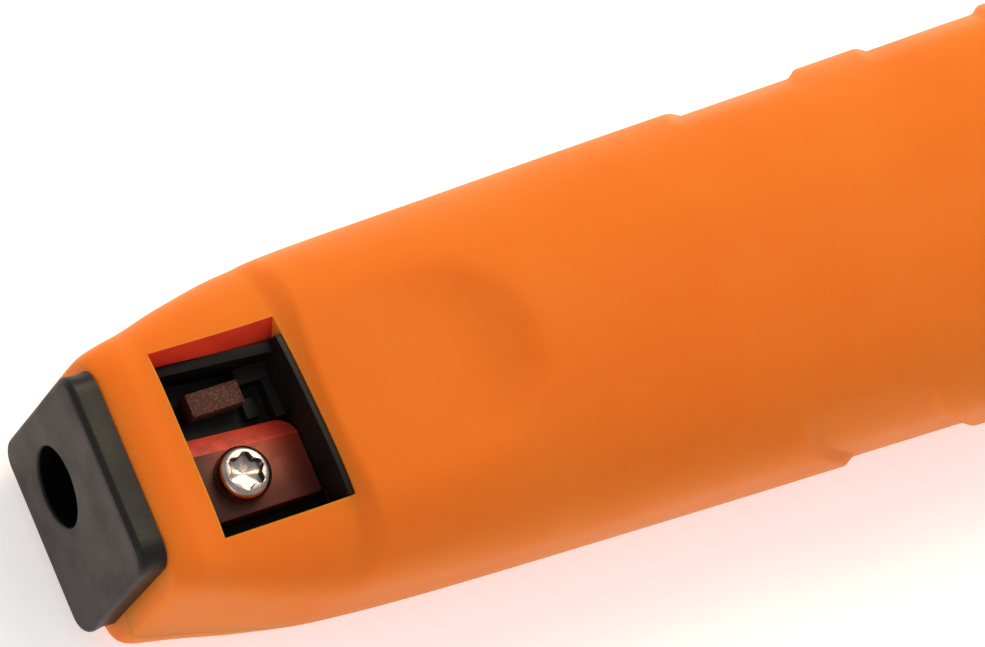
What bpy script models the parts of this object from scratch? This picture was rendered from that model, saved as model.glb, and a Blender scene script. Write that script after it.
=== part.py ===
"""Non contact voltage tester with a torch nose, modelled in Blender 4.5.

The long axis is X with the nose at +X, Z is up, and the tester lies on the flat of its
underside at z = 0. Stations along the body are counted in millimetres from the nose tip,
and heights in millimetres from the body's own axis.
"""

import math

import bmesh
import bpy
from mathutils import Matrix, Vector

# ------------------------------------------------------------ driving dimensions (mm)
MM = 0.001
LENGTH = 160.0
AXIS_Z = 9.2                # height of the body's axis above the flat of the underside
GAP = 0.3                   # clearance kept between touching pieces
WALL = 1.8                  # moulded wall of the body
CAP_WALL = 1.6
MERGE = 0.00001

# The body's outline, as (station, value) points joined by smooth curves.
HALF_WIDTH = ((2.0, 8.1), (5.5, 8.95), (9.0, 9.95), (14.0, 11.0), (20.0, 11.5), (30.0, 11.95),
              (50.0, 12.6), (75.0, 13.2), (110.0, 13.35), (147.0, 12.9), (160.0, 12.5))
CROWN = ((2.0, 6.5), (3.9, 6.95), (5.9, 6.4), (14.6, 6.85), (16.2, 8.2), (24.0, 8.9),
         (35.0, 9.35), (60.0, 9.6), (120.0, 9.6), (147.0, 9.4), (160.0, 9.2))
KEEL = ((2.0, 8.6), (9.0, 8.7), (16.0, 9.0), (30.0, 9.5), (50.0, 9.8), (147.0, 9.8),
        (160.0, 9.7))
CROWN_SQUARENESS = ((2.0, 5.6), (14.6, 2.85), (30.0, 2.2), (60.0, 2.25), (76.0, 2.6),
                    (160.0, 2.6))
KEEL_SQUARENESS = ((2.0, 6.5), (16.0, 4.0), (40.0, 3.6), (160.0, 3.4))

SEAM_HEIGHT = -4.5          # the back cover meets the body here
SEAM_HALF_GAP = 0.26
SEAM_COLUMN = 0.008         # share of the upper arc between a seam and the first column

PAD_THICKNESS = 1.7
PAD_WIDTH = 13.5
PAD_HEIGHT = 14.2
PAD_CORNER = 1.55
PAD_CENTRE = (-0.2, -0.64)   # sideways place and height of the middle of the pad
NOSE_HOLE_Y = -1.9
NOSE_HOLE_HEIGHT = -1.5
NOSE_HOLE_RADIUS = 2.68
PLUG_END = 5.0
FRONT = PAD_THICKNESS + GAP

SHELL_END = 147.0
SEAL_START = 147.3
SEAL_THICKNESS = 0.6
CAP_START = 148.2
TAIL_ROUNDING = 4.0

WINDOW_START = 5.9
WINDOW_END = 14.5
WINDOW_HALF_WIDTH = 6.1
WINDOW_CORNER = 0.25

SCOOP_START = 14.6
SCOOP_CENTRE = 17.0
SCOOP_HEIGHT = 7.6
SCOOP_SLOPE = 0.02
SCOOP_RADIUS = 8.0
SCOOP_RAMP = 0.055
SCOOP_SPREAD = 0.75         # below 1, the scoop is wider than it is long

NOTCH_FIRST = 50.4
NOTCH_PITCH = 15.0
NOTCH_LENGTH = 9.5
NOTCH_COUNT = 4
NOTCH_DEPTH = 0.45
NOTCH_EDGE = 0.6
NOTCH_INNER = 0.78          # share of the half width where a notch fades out
NOTCH_OUTER = 0.97
NOTCH_LEAN = 4.6            # how far a notch's ends lean towards the nose at the crown
LEAN_HEIGHT = 5.0           # and the height over which they do most of it
LEAN_RAMP = (42.0, 49.0)    # the rows of the skin start to lean here
LEAN_FADE = (111.0, 124.0)  # and stand upright again here

BOARD_START = 18.0
BOARD_END = 100.6
BOARD_HALF_WIDTH = 9.0
BOARD_BOTTOM = -2.0
BOARD_THICKNESS = 1.2
BOARD_TOP = BOARD_BOTTOM + BOARD_THICKNESS
ON_BOARD = BOARD_TOP + GAP

SCREW_STATIONS = ((21.0, 6.0), (89.0, 7.6))     # station, height of the boss's upper end
SCREW_Y = 7.0
BOSS_RADIUS = 2.1
POST_RADIUS = 2.35
BORE_RADIUS = 1.25
SCREW_RADIUS = 0.95
SCREW_HEAD_RADIUS = 1.8
COUNTERBORE_RADIUS = 2.1
COUNTERBORE_TOP = -7.0

POWER_STATION = 80.0
POWER_LENGTH = 12.4
POWER_WIDTH = 8.0
TORCH_STATION = 95.5
TORCH_LENGTH = 8.0
TORCH_WIDTH = 6.4
BUTTON_TOP = 10.7
BUTTON_FLANGE = 1.3         # how far the flange reaches past the button's outline
FLANGE_TOP = 7.0
FLANGE_BOTTOM = 6.0
STEM_RADIUS = 1.5
STEM_BOTTOM = 3.5
SWITCH_SIZE = 6.0
SWITCH_TOP = 2.0
LENS_STATION = 89.0
LENS_RADIUS = 1.1

CELL_START = 105.7
CELL_LENGTH = 44.5
CELL_RADIUS = 5.15
CELL_Y = 5.35
NUB_LENGTH = 0.8
NUB_RADIUS = 2.6
CONTACT_WIRE = 0.3          # radius of the contact springs' wire

CLIP_WIDTH = 8.0
CLIP_THICKNESS = 0.8
CLIP_FOOT = (134.0, 145.0)
CLIP_PIVOT = 133.7
CLIP_BOTTOM = 9.75
RIVET_STATIONS = (137.0, 142.0)

BODY_SEGMENTS = 20
COVER_SEGMENTS = 10
CAP_STEPS = 32
ROUND_STEPS = 24

PARTS = "voltage_tester"
CUTTERS = "cutters"


# ------------------------------------------------------------ places and collections
def spot(station, y, height):
    """The world point at a station, a sideways place and a height above the axis."""
    return Vector(((LENGTH / 2 - station) * MM, y * MM, (AXIS_Z + height) * MM))


def clear_scene():
    for item in list(bpy.data.objects):
        bpy.data.objects.remove(item, do_unlink=True)


def collection(name):
    found = bpy.data.collections.get(name)
    if found is None:
        found = bpy.data.collections.new(name)
        bpy.context.scene.collection.children.link(found)
    return found


def add_object(name, data, group=PARTS):
    item = bpy.data.objects.new(name, data)
    collection(group).objects.link(item)
    if group == CUTTERS:
        item.hide_render = True
        item.display_type = "WIRE"
    return item


def finish_mesh(name, mesh_builder, group=PARTS):
    """Turn a bmesh into a named object."""
    mesh = bpy.data.meshes.new(name)
    mesh_builder.to_mesh(mesh)
    mesh_builder.free()
    return add_object(name, mesh, group)


def shade_round(item, angle=35.0):
    item.data.shade_smooth()
    item.data.set_sharp_from_angle(angle=math.radians(angle))


def move_origin(item, point):
    """Put an object's origin at a world point without moving its shape."""
    item.data.transform(Matrix.Translation(-point))
    item.location = point


# ------------------------------------------------------------ materials
def material(name, colour, roughness, metallic=0.0):
    made = bpy.data.materials.new(name)
    made.use_nodes = True
    shader = made.node_tree.nodes["Principled BSDF"]
    shader.inputs["Base Color"].default_value = (*colour, 1.0)
    shader.inputs["Roughness"].default_value = roughness
    shader.inputs["Metallic"].default_value = metallic
    return made


def paint(item, colour, roughness, metallic=0.0):
    item.data.materials.append(material(item.name + "_finish", colour, roughness, metallic))


ORANGE = (0.80, 0.15, 0.02)
BLACK = (0.03, 0.027, 0.025)
STEEL = (0.62, 0.60, 0.57)


# ------------------------------------------------------------ modifiers
def cut(item, cutter, operation="DIFFERENCE"):
    step = item.modifiers.new(operation.lower() + "_" + cutter.name, "BOOLEAN")
    step.operation = operation
    step.object = cutter
    step.solver = "EXACT"


def bevel(item, width, segments=2, angle=35.0):
    step = item.modifiers.new("edge", "BEVEL")
    step.width = width * MM
    step.segments = segments
    step.limit_method = "ANGLE"
    step.angle_limit = math.radians(angle)


# ------------------------------------------------------------ basic solids
def block(name, station, y, height, group=PARTS):
    """A box between two stations, two sideways places and two heights."""
    low = spot(station[1], y[0], height[0])
    high = spot(station[0], y[1], height[1])
    builder = bmesh.new()
    bmesh.ops.create_cube(builder, size=1.0)
    bmesh.ops.scale(builder, vec=high - low, verts=builder.verts)
    bmesh.ops.translate(builder, vec=(low + high) / 2, verts=builder.verts)
    return finish_mesh(name, builder, group)


def rod(name, station, y, heights, radius, group=PARTS, segments=ROUND_STEPS):
    """An upright cylinder between two heights."""
    builder = bmesh.new()
    depth = (heights[1] - heights[0]) * MM
    half_step = Matrix.Rotation(math.pi / segments, 4, "Z")
    bmesh.ops.create_cone(builder, cap_ends=True, segments=segments, radius1=radius * MM,
                          radius2=radius * MM, depth=depth, matrix=half_step)
    middle = spot(station, y, (heights[0] + heights[1]) / 2)
    bmesh.ops.translate(builder, vec=middle, verts=builder.verts)
    item = finish_mesh(name, builder, group)
    shade_round(item)
    return item


def axial_rod(name, stations, y, height, radius, group=PARTS):
    """A cylinder along X between two stations."""
    builder = bmesh.new()
    depth = (stations[1] - stations[0]) * MM
    turn = Matrix.Rotation(math.pi / 2, 4, "Y")
    bmesh.ops.create_cone(builder, cap_ends=True, segments=ROUND_STEPS, radius1=radius * MM,
                          radius2=radius * MM, depth=depth, matrix=turn)
    middle = spot((stations[0] + stations[1]) / 2, y, height)
    bmesh.ops.translate(builder, vec=middle, verts=builder.verts)
    return finish_mesh(name, builder, group)


def turned(name, profile, steps=ROUND_STEPS):
    """A profile of (radius, height) points, top to bottom, turned about Z."""
    builder = bmesh.new()
    points = [builder.verts.new((radius * MM, 0.0, height * MM)) for radius, height in profile]
    for first, second in zip(points, points[1:]):
        builder.edges.new((first, second))
    item = finish_mesh(name, builder)
    lathe = item.modifiers.new("lathe", "SCREW")
    lathe.axis = "Z"
    lathe.steps = steps
    lathe.render_steps = steps
    lathe.use_merge_vertices = True
    lathe.merge_threshold = MERGE
    lathe.use_smooth_shade = True
    return item


def mesh_from_curve(item):
    """Replace a curve object by its closed mesh."""
    name = item.name
    group = item.users_collection[0].name
    evaluated = item.evaluated_get(bpy.context.evaluated_depsgraph_get())
    mesh = bpy.data.meshes.new_from_object(evaluated)
    builder = bmesh.new()
    builder.from_mesh(mesh)
    bmesh.ops.remove_doubles(builder, verts=builder.verts, dist=MERGE * 0.1)
    builder.to_mesh(mesh)
    builder.free()
    place = item.matrix_world.copy()
    bpy.data.objects.remove(item, do_unlink=True)
    made = add_object(name, mesh, group)
    made.matrix_world = place
    return made


def flat_outline(name, outlines, thickness, place, group=PARTS):
    """A flat piece from closed outlines (mm), half its thickness to each side of the plane."""
    curve = bpy.data.curves.new(name, "CURVE")
    curve.dimensions = "2D"
    curve.fill_mode = "BOTH"
    curve.extrude = thickness / 2 * MM
    for outline in outlines:
        line = curve.splines.new("POLY")
        line.points.add(len(outline) - 1)
        for point, (across, up) in zip(line.points, outline):
            point.co = (across * MM, up * MM, 0.0, 1.0)
        line.use_cyclic_u = True
    item = add_object(name, curve, group)
    item.matrix_world = place
    bpy.context.view_layer.update()
    return mesh_from_curve(item)


def lying(station, y, height):
    """Outline plane laid flat: its own X runs along the body, its Y across."""
    return Matrix.Translation(spot(station, y, height))


def crosswise(station, y=0.0, height=0.0):
    """Outline plane across the body: its own X is sideways and its Y is up."""
    turn = Matrix(((0, 0, 1, 0), (1, 0, 0, 0), (0, 1, 0, 0), (0, 0, 0, 1)))
    return Matrix.Translation(spot(station, y, height)) @ turn


def lengthwise(station, y, height):
    """Outline plane seen from the side: its own X runs to the nose and its Y is up."""
    turn = Matrix.Rotation(math.pi / 2, 4, "X")
    return Matrix.Translation(spot(station, y, height)) @ turn


def rounded_rectangle(width, height, radius, steps=6, centre=(0.0, 0.0)):
    points = []
    corners = ((1, 1, 0), (-1, 1, 90), (-1, -1, 180), (1, -1, 270))
    for side, up, start in corners:
        middle_x = centre[0] + side * (width / 2 - radius)
        middle_y = centre[1] + up * (height / 2 - radius)
        for step in range(steps + 1):
            angle = math.radians(start + 90.0 * step / steps)
            points.append((middle_x + radius * math.cos(angle),
                           middle_y + radius * math.sin(angle)))
    return points


def circle(radius, steps=ROUND_STEPS, centre=(0.0, 0.0)):
    turns = [2 * math.pi * step / steps for step in range(steps)]
    return [(centre[0] + radius * math.cos(turn), centre[1] + radius * math.sin(turn))
            for turn in turns]


def six_lobes(radius, steps=24):
    """The outline of a six-lobe driver recess."""
    points = []
    for step in range(steps):
        turn = 2 * math.pi * step / steps
        reach = radius * (0.86 + 0.14 * math.cos(6 * turn))
        points.append((reach * math.cos(turn), reach * math.sin(turn)))
    return points


def strip_outline(path, thickness):
    """The closed side outline of a bent strip whose middle line is a list of points."""
    upper = []
    lower = []
    for index, point in enumerate(path):
        before = Vector(path[max(index - 1, 0)])
        after = Vector(path[min(index + 1, len(path) - 1)])
        along_path = (after - before).normalized()
        side = Vector((-along_path.y, along_path.x)) * thickness / 2
        upper.append(tuple(Vector(point) + side))
        lower.append(tuple(Vector(point) - side))
    return lower + upper[::-1]


def coil(name, centre_y, stations, radii, wire, turns):
    """A compression spring along X from the first station to the last."""
    curve = bpy.data.curves.new(name, "CURVE")
    curve.dimensions = "3D"
    curve.bevel_depth = wire * MM
    curve.bevel_resolution = 2
    curve.use_fill_caps = True
    count = turns * 10 + 1
    line = curve.splines.new("POLY")
    line.points.add(count - 1)
    for index, point in enumerate(line.points):
        share = index / (count - 1)
        turn = 2 * math.pi * turns * share
        radius = radii[0] + (radii[1] - radii[0]) * share
        station = stations[0] + wire + (stations[1] - stations[0] - 2 * wire) * share
        place = spot(station, centre_y + radius * math.cos(turn), radius * math.sin(turn))
        point.co = (*place, 1.0)
    item = add_object(name, curve)
    bpy.context.view_layer.update()
    made = mesh_from_curve(item)
    shade_round(made, 60.0)
    return made


# ------------------------------------------------------------ the body's outer form
def along(table, station):
    """A smooth, never overshooting curve through a table of (station, value) points."""
    places = [row[0] for row in table]
    values = [row[1] for row in table]
    if station <= places[0]:
        return values[0]
    if station >= places[-1]:
        return values[-1]
    slopes = [(values[i + 1] - values[i]) / (places[i + 1] - places[i])
              for i in range(len(table) - 1)]
    tangents = [slopes[0]]
    for before, after in zip(slopes, slopes[1:]):
        same_way = before * after > 0
        tangents.append(2 * before * after / (before + after) if same_way else 0.0)
    tangents.append(slopes[-1])
    index = max(i for i in range(len(table) - 1) if places[i] <= station)
    span = places[index + 1] - places[index]
    t = (station - places[index]) / span
    return (values[index] * (1 + 2 * t) * (1 - t) ** 2
            + tangents[index] * span * t * (1 - t) ** 2
            + values[index + 1] * t * t * (3 - 2 * t)
            + tangents[index + 1] * span * t * t * (t - 1))


def smooth_step(low, high, value):
    t = min(max((value - low) / (high - low), 0.0), 1.0)
    return t * t * (3 - 2 * t)


def notch_share(station):
    """1 on the floor of a grip notch, 0 between the notches."""
    share = 0.0
    half = NOTCH_EDGE / 2
    for number in range(NOTCH_COUNT):
        start = NOTCH_FIRST + number * NOTCH_PITCH
        end = start + NOTCH_LENGTH
        share += smooth_step(start - half, start + half, station)
        share -= smooth_step(end - half, end + half, station)
    return share


def end_share(station):
    """How full the section is: it draws in towards the end of the tail."""
    if station > LENGTH - TAIL_ROUNDING:
        t = (station - LENGTH + TAIL_ROUNDING) / TAIL_ROUNDING
        return 0.7 + 0.3 * math.sqrt(max(0.0, 1 - t * t))
    return 1.0


def scoop_limit(station, y):
    """The thumb scoop's surface: a flat floor that curves up past a rounded end."""
    if station < SCOOP_START:
        return AXIS_Z * 2
    past_centre = max(station - SCOOP_CENTRE, 0.0)
    outside = max(math.hypot(past_centre, SCOOP_SPREAD * y) - SCOOP_RADIUS, 0.0)
    floor = SCOOP_HEIGHT + SCOOP_SLOPE * (station - SCOOP_START)
    return floor + SCOOP_RAMP * outside * outside


def section_point(station, angle, inset=0.0, notch=None):
    """Sideways place and height of the body's outside (or an inset of it) at an angle."""
    across = math.cos(angle)
    up = math.sin(angle)
    if up >= 0:
        height = along(CROWN, station) - inset
        squareness = along(CROWN_SQUARENESS, station)
    else:
        height = along(KEEL, station) - inset
        squareness = along(KEEL_SQUARENESS, station)
    reach = (abs(across) ** squareness + abs(up) ** squareness) ** (-1 / squareness)
    half_width = along(HALF_WIDTH, station) - inset
    y = half_width * reach * across
    fade = smooth_step(NOTCH_INNER, NOTCH_OUTER, abs(y) / half_width)
    notch_depth = NOTCH_DEPTH * notch_share(station if notch is None else notch)
    y -= math.copysign(notch_depth * fade, y)
    z = height * reach * up
    share = end_share(station)
    y *= share
    z *= share
    z = min(z, scoop_limit(station, y) - inset)
    z = max(z, -AXIS_Z + inset)
    return y, z


def seam_angle(station, height):
    """The angle, below the horizontal, at which the outside crosses a height."""
    low = -math.pi / 2
    high = 0.0
    for _ in range(40):
        middle = (low + high) / 2
        if section_point(station, middle)[1] < height:
            low = middle
        else:
            high = middle
    return (low + high) / 2


def section_outline(station, inset, steps=40):
    turns = [2 * math.pi * step / steps for step in range(steps)]
    return [section_point(station, turn, inset) for turn in turns]


def body_stations():
    stations = [FRONT, 3.0, 4.0, 5.0, 6.0, 8.0, 10.5, 14.4, 16.6, 18.5, 20.5, 23.0, 25.5,
                27.5, 29.5, 32.0, 36.0, 42.0]
    for number in range(NOTCH_COUNT):
        start = NOTCH_FIRST + number * NOTCH_PITCH
        for edge in (start, start + NOTCH_LENGTH):
            stations += [edge - NOTCH_EDGE / 2, edge + NOTCH_EDGE / 2]
    stations += [117.0, 124.0, 136.0, SHELL_END]
    return sorted(stations)


def skin(name, rows, thickness, closed=False):
    """A lofted surface through rows of points, thickened inwards."""
    builder = bmesh.new()
    grid = [[builder.verts.new(point) for point in row] for row in rows]
    width = len(grid[0])
    columns = range(width if closed else width - 1)
    for first, second in zip(grid, grid[1:]):
        for column in columns:
            beside = (column + 1) % width
            builder.faces.new((first[column], first[beside], second[beside], second[column]))
    builder.normal_update()
    builder.faces.ensure_lookup_table()
    middle = builder.faces[len(builder.faces) // 2]
    outward = middle.calc_center_median() - spot(LENGTH / 2, 0.0, 0.0)
    outward.x = 0.0
    if middle.normal.dot(outward) < 0:
        bmesh.ops.reverse_faces(builder, faces=builder.faces)
    item = finish_mesh(name, builder)
    shell = item.modifiers.new("wall", "SOLIDIFY")
    shell.thickness = thickness * MM
    shell.offset = -1.0
    shell.use_even_offset = True
    shade_round(item)
    return item


def leaning_station(station, height):
    """Where a row of the skin lies at a height: rows lean with the ends of the notches."""
    share = smooth_step(*LEAN_RAMP, station) - smooth_step(*LEAN_FADE, station)
    return station - NOTCH_LEAN * share * math.tanh(height / LEAN_HEIGHT)


def shell_rows(angles_at):
    """Rows of points from the open nose to the open tail end of the body."""
    rows = []
    for station in body_stations():
        row = []
        for angle in angles_at(station):
            place = leaning_station(station, section_point(station, angle)[1])
            row.append(spot(place, *section_point(place, angle, notch=station)))
        rows.append(row)
    return rows


def upper_angles(station):
    """Angles over the top from seam to seam, with a close pair at each end."""
    start = seam_angle(station, SEAM_HEIGHT + SEAM_HALF_GAP)
    span = math.pi - 2 * start
    shares = [step / BODY_SEGMENTS for step in range(BODY_SEGMENTS + 1)]
    shares = [0.0, SEAM_COLUMN] + shares[1:-1] + [1.0 - SEAM_COLUMN, 1.0]
    return [start + span * share for share in shares]


def lower_angles(station):
    """Angles under the bottom from seam to seam, with a close pair at each end."""
    start = seam_angle(station, SEAM_HEIGHT - SEAM_HALF_GAP)
    span = -math.pi - 2 * start
    shares = [step / COVER_SEGMENTS for step in range(COVER_SEGMENTS + 1)]
    shares = [0.0, 2 * SEAM_COLUMN] + shares[1:-1] + [1.0 - 2 * SEAM_COLUMN, 1.0]
    return [start + span * share for share in shares]


# ------------------------------------------------------------ housing
def screw_places():
    for station, boss_top in SCREW_STATIONS:
        for side in (-1, 1):
            yield station, side * SCREW_Y, boss_top


def make_top_shell():
    shell = skin("top_shell", shell_rows(upper_angles), WALL)
    number = 0
    for station, y, boss_top in screw_places():
        number += 1
        boss = rod(f"boss_{number}", station, y, (BOARD_TOP + GAP, boss_top), BOSS_RADIUS,
                   CUTTERS, 16)
        cut(shell, boss, "UNION")
        bore = rod(f"boss_bore_{number}", station, y, (BOARD_TOP - 1.0, boss_top - 2.0),
                   BORE_RADIUS, CUTTERS, 12)
        cut(shell, bore)
    window = rounded_rectangle(WINDOW_END - WINDOW_START, 2 * WINDOW_HALF_WIDTH,
                               WINDOW_CORNER, 2)
    middle = (WINDOW_START + WINDOW_END) / 2
    cut(shell, flat_outline("window_cut", [window], 9.0, lying(middle, 0.0, 7.0), CUTTERS))
    for name, station, length, width in (
            ("power_opening", POWER_STATION, POWER_LENGTH, POWER_WIDTH),
            ("torch_opening", TORCH_STATION, TORCH_LENGTH, TORCH_WIDTH)):
        outline = rounded_rectangle(length + 2 * GAP, width + 2 * GAP, width / 2 + GAP - 0.01)
        cut(shell, flat_outline(name, [outline], 8.0, lying(station, 0.0, 9.5), CUTTERS))
    cut(shell, rod("lens_hole", LENS_STATION, 0.0, (5.0, 12.0), LENS_RADIUS + GAP, CUTTERS, 16))
    for number, station in enumerate(RIVET_STATIONS):
        hole = rod(f"rivet_hole_{number + 1}", station, 0.0, (5.0, 12.0), 1.2, CUTTERS, 16)
        cut(shell, hole)
    paint(shell, ORANGE, 0.42)


def make_bottom_shell():
    cover = skin("bottom_shell", shell_rows(lower_angles), WALL)
    number = 0
    for station, y, _ in screw_places():
        number += 1
        post = rod(f"post_{number}", station, y, (-7.6, BOARD_BOTTOM - GAP), POST_RADIUS,
                   CUTTERS, 16)
        cut(cover, post, "UNION")
        bore = rod(f"post_bore_{number}", station, y, (-8.0, BOARD_TOP), BORE_RADIUS,
                   CUTTERS, 12)
        cut(cover, bore)
        sink = rod(f"counterbore_{number}", station, y, (-11.0, COUNTERBORE_TOP),
                   COUNTERBORE_RADIUS, CUTTERS, 16)
        cut(cover, sink)
    paint(cover, ORANGE, 0.42)


def make_nose_pad():
    pad = flat_outline("nose_pad", [rounded_rectangle(PAD_WIDTH, PAD_HEIGHT, PAD_CORNER, 5)],
                       PAD_THICKNESS, crosswise(PAD_THICKNESS / 2, *PAD_CENTRE))
    bevel(pad, 0.35, 2, 60.0)
    reach = PLUG_END - PAD_THICKNESS / 2
    plug = flat_outline("pad_plug", [section_outline(FRONT, WALL + GAP + 0.1)], reach,
                        crosswise(PLUG_END - reach / 2), CUTTERS)
    cut(pad, plug, "UNION")
    hole = axial_rod("nose_hole", (-2.0, PLUG_END + 2.0), NOSE_HOLE_Y, NOSE_HOLE_HEIGHT,
                     NOSE_HOLE_RADIUS, CUTTERS)
    cut(pad, hole)
    paint(pad, BLACK, 0.6)


def make_tail_cap():
    stations = [CAP_START, 152.0, LENGTH - TAIL_ROUNDING, 157.5, 158.8, 159.6, LENGTH]
    turns = [2 * math.pi * step / CAP_STEPS for step in range(CAP_STEPS)]
    rows = [[spot(station, *section_point(station, turn)) for turn in turns]
            for station in stations]
    for share in (0.6, 0.03):
        rows.append([spot(LENGTH, y * share, z * share)
                     for y, z in (section_point(LENGTH, turn) for turn in turns)])
    cap = skin("tail_cap", rows, CAP_WALL, closed=True)
    close_end(cap)
    for name, side in (("upper", 1), ("lower", -1)):
        low, high = sorted((side * 5.9, side * 6.95))
        tongue = block(f"{name}_tongue", (142.5, 150.0), (-4.5, 4.5), (low, high), CUTTERS)
        cut(cap, tongue, "UNION")
        low, high = sorted((side * 5.9, side * 8.3))
        root = block(f"{name}_tongue_root", (149.0, 151.2), (-4.0, 4.0), (low, high), CUTTERS)
        cut(cap, root, "UNION")
    move_origin(cap, spot(CAP_START, 0.0, 0.0))
    paint(cap, ORANGE, 0.42)


def close_end(item):
    """Fill the small ring left in the middle of a lofted end, before it is thickened."""
    builder = bmesh.new()
    builder.from_mesh(item.data)
    last = sorted(builder.verts, key=lambda vert: vert.index)[-CAP_STEPS:]
    builder.faces.new(last)
    bmesh.ops.recalc_face_normals(builder, faces=builder.faces)
    builder.to_mesh(item.data)
    builder.free()
    shade_round(item)


def make_cap_seal():
    station = SEAL_START + SEAL_THICKNESS / 2
    outlines = [section_outline(SHELL_END, 0.25), section_outline(SHELL_END, 1.5)]
    seal = flat_outline("cap_seal", outlines, SEAL_THICKNESS, crosswise(station))
    paint(seal, BLACK, 0.7)


def make_screw(name, station, y, heights, head_height, radius, head_radius, upward):
    """A pan head screw; the head is at the lower end unless upward is true."""
    side = 1 if upward else -1
    shaft = heights[0]
    seat = heights[1]
    top = seat + side * head_height
    reach = abs(seat - shaft)
    profile = [(0.001, reach + head_height), (head_radius * 0.7, reach + head_height),
               (head_radius, reach + head_height * 0.55), (head_radius, reach),
               (radius, reach), (radius, 0.6), (radius * 0.5, 0.0), (0.001, 0.0)]
    screw = turned(name, profile, 16)
    if not upward:
        screw.data.transform(Matrix.Scale(-1, 4, (0, 0, 1)))
        screw.data.flip_normals()
        screw.modifiers["lathe"].use_normal_flip = True
    screw.location = spot(station, y, shaft)
    recess = flat_outline(name + "_recess", [six_lobes(head_radius * 0.58)],
                          head_height * 1.3, lying(station, y, top), CUTTERS)
    cut(screw, recess)
    paint(screw, STEEL, 0.3, 1.0)
    return screw


def make_housing_screws():
    number = 0
    for station, y, boss_top in screw_places():
        number += 1
        make_screw(f"housing_screw_{number}", station, y, (boss_top - 2.6, COUNTERBORE_TOP - GAP),
                   1.2, SCREW_RADIUS, SCREW_HEAD_RADIUS, upward=False)


# ------------------------------------------------------------ window pocket and nose
POCKET_FLOOR = 1.8
INSERT_BOTTOM = 1.1
INSERT_TOP = 3.7
BLOCK_BOTTOM = POCKET_FLOOR + GAP
CLAMP_SCREW_PLACE = (9.55, 2.2)


def make_window_frame():
    frame = block("window_frame", (5.3, 15.6), (-6.4, 6.4), (INSERT_BOTTOM, INSERT_TOP))
    pocket = block("pocket", (6.2, 14.7), (-5.7, 5.7), (POCKET_FLOOR, 6.0), CUTTERS)
    cut(frame, pocket)
    hole = rod("insert_hole", *CLAMP_SCREW_PLACE, (0.0, 3.0), 1.05, CUTTERS, 16)
    cut(frame, hole)
    paint(frame, BLACK, 0.5)


def make_sensor_block():
    sensor = block("sensor_block", (7.0, 11.2), (-4.2, -2.0), (BLOCK_BOTTOM, 3.6))
    bevel(sensor, 0.15, 1)
    paint(sensor, (0.20, 0.09, 0.05), 0.7)


def make_clamp_block():
    clamp = block("clamp_block", (6.9, 14.35), (-1.2, 4.6), (BLOCK_BOTTOM, 3.6))
    hole = rod("clamp_hole", *CLAMP_SCREW_PLACE, (0.0, 6.0), 1.05, CUTTERS, 16)
    cut(clamp, hole)
    paint(clamp, (0.45, 0.40, 0.38), 0.25, 1.0)


def make_clamp_screw():
    make_screw("clamp_screw", *CLAMP_SCREW_PLACE, (0.95, 3.9), 1.0, 0.75, 1.8, upward=True)


def make_torch_led():
    length = 5.0
    profile = [(0.001, length), (0.7, length - 0.25), (1.25, length - 0.75),
               (1.5, length - 1.5), (1.5, 1.0), (1.9, 1.0), (1.9, 0.0), (0.001, 0.0)]
    led = turned("torch_led", profile, 20)
    led.rotation_euler = (0.0, math.pi / 2, 0.0)
    led.location = spot(13.3, NOSE_HOLE_Y, NOSE_HOLE_HEIGHT)
    paint(led, (0.85, 0.88, 0.9), 0.1)


def make_led_sleeve():
    sleeve = axial_rod("led_sleeve", (6.2, 12.0), NOSE_HOLE_Y, NOSE_HOLE_HEIGHT, 2.4)
    bore = axial_rod("sleeve_bore", (5.0, 13.0), NOSE_HOLE_Y, NOSE_HOLE_HEIGHT, 1.8, CUTTERS)
    cut(sleeve, bore)
    shade_round(sleeve)
    paint(sleeve, BLACK, 0.5)


def make_led_legs():
    path = [(13.6, -1.5), (15.4, -1.5), (16.6, -0.2), (20.0, -0.2)]
    for number, offset in enumerate((-0.9, 0.9)):
        curve = bpy.data.curves.new("led_leg", "CURVE")
        curve.dimensions = "3D"
        curve.bevel_depth = 0.22 * MM
        curve.bevel_resolution = 2
        curve.use_fill_caps = True
        line = curve.splines.new("POLY")
        line.points.add(len(path) - 1)
        for point, (station, height) in zip(line.points, path):
            point.co = (*spot(station, NOSE_HOLE_Y + offset, height), 1.0)
        item = add_object(f"led_leg_{number + 1}", curve)
        bpy.context.view_layer.update()
        leg = mesh_from_curve(item)
        paint(leg, STEEL, 0.35, 1.0)


def make_antenna_strip():
    path = [(-PLUG_END - 0.5, -3.0), (-16.0, -3.0), (-17.2, -0.35), (-20.0, -0.35)]
    outline = strip_outline(path, 0.3)
    strip = flat_outline("antenna_strip", [outline], 2.0, lengthwise(0.0, 3.9, 0.0))
    paint(strip, (0.75, 0.38, 0.2), 0.35, 1.0)


# ------------------------------------------------------------ electronics
def make_circuit_board():
    middle = (BOARD_START + BOARD_END) / 2
    outline = rounded_rectangle(BOARD_END - BOARD_START, 2 * BOARD_HALF_WIDTH, 1.0, 3)
    outlines = [outline]
    for station, y, _ in screw_places():
        outlines.append(circle(BORE_RADIUS, 16, (middle - station, y)))
    height = BOARD_BOTTOM + BOARD_THICKNESS / 2
    board = flat_outline("circuit_board", outlines, BOARD_THICKNESS, lying(middle, 0.0, height))
    paint(board, (0.02, 0.18, 0.07), 0.45)


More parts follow.
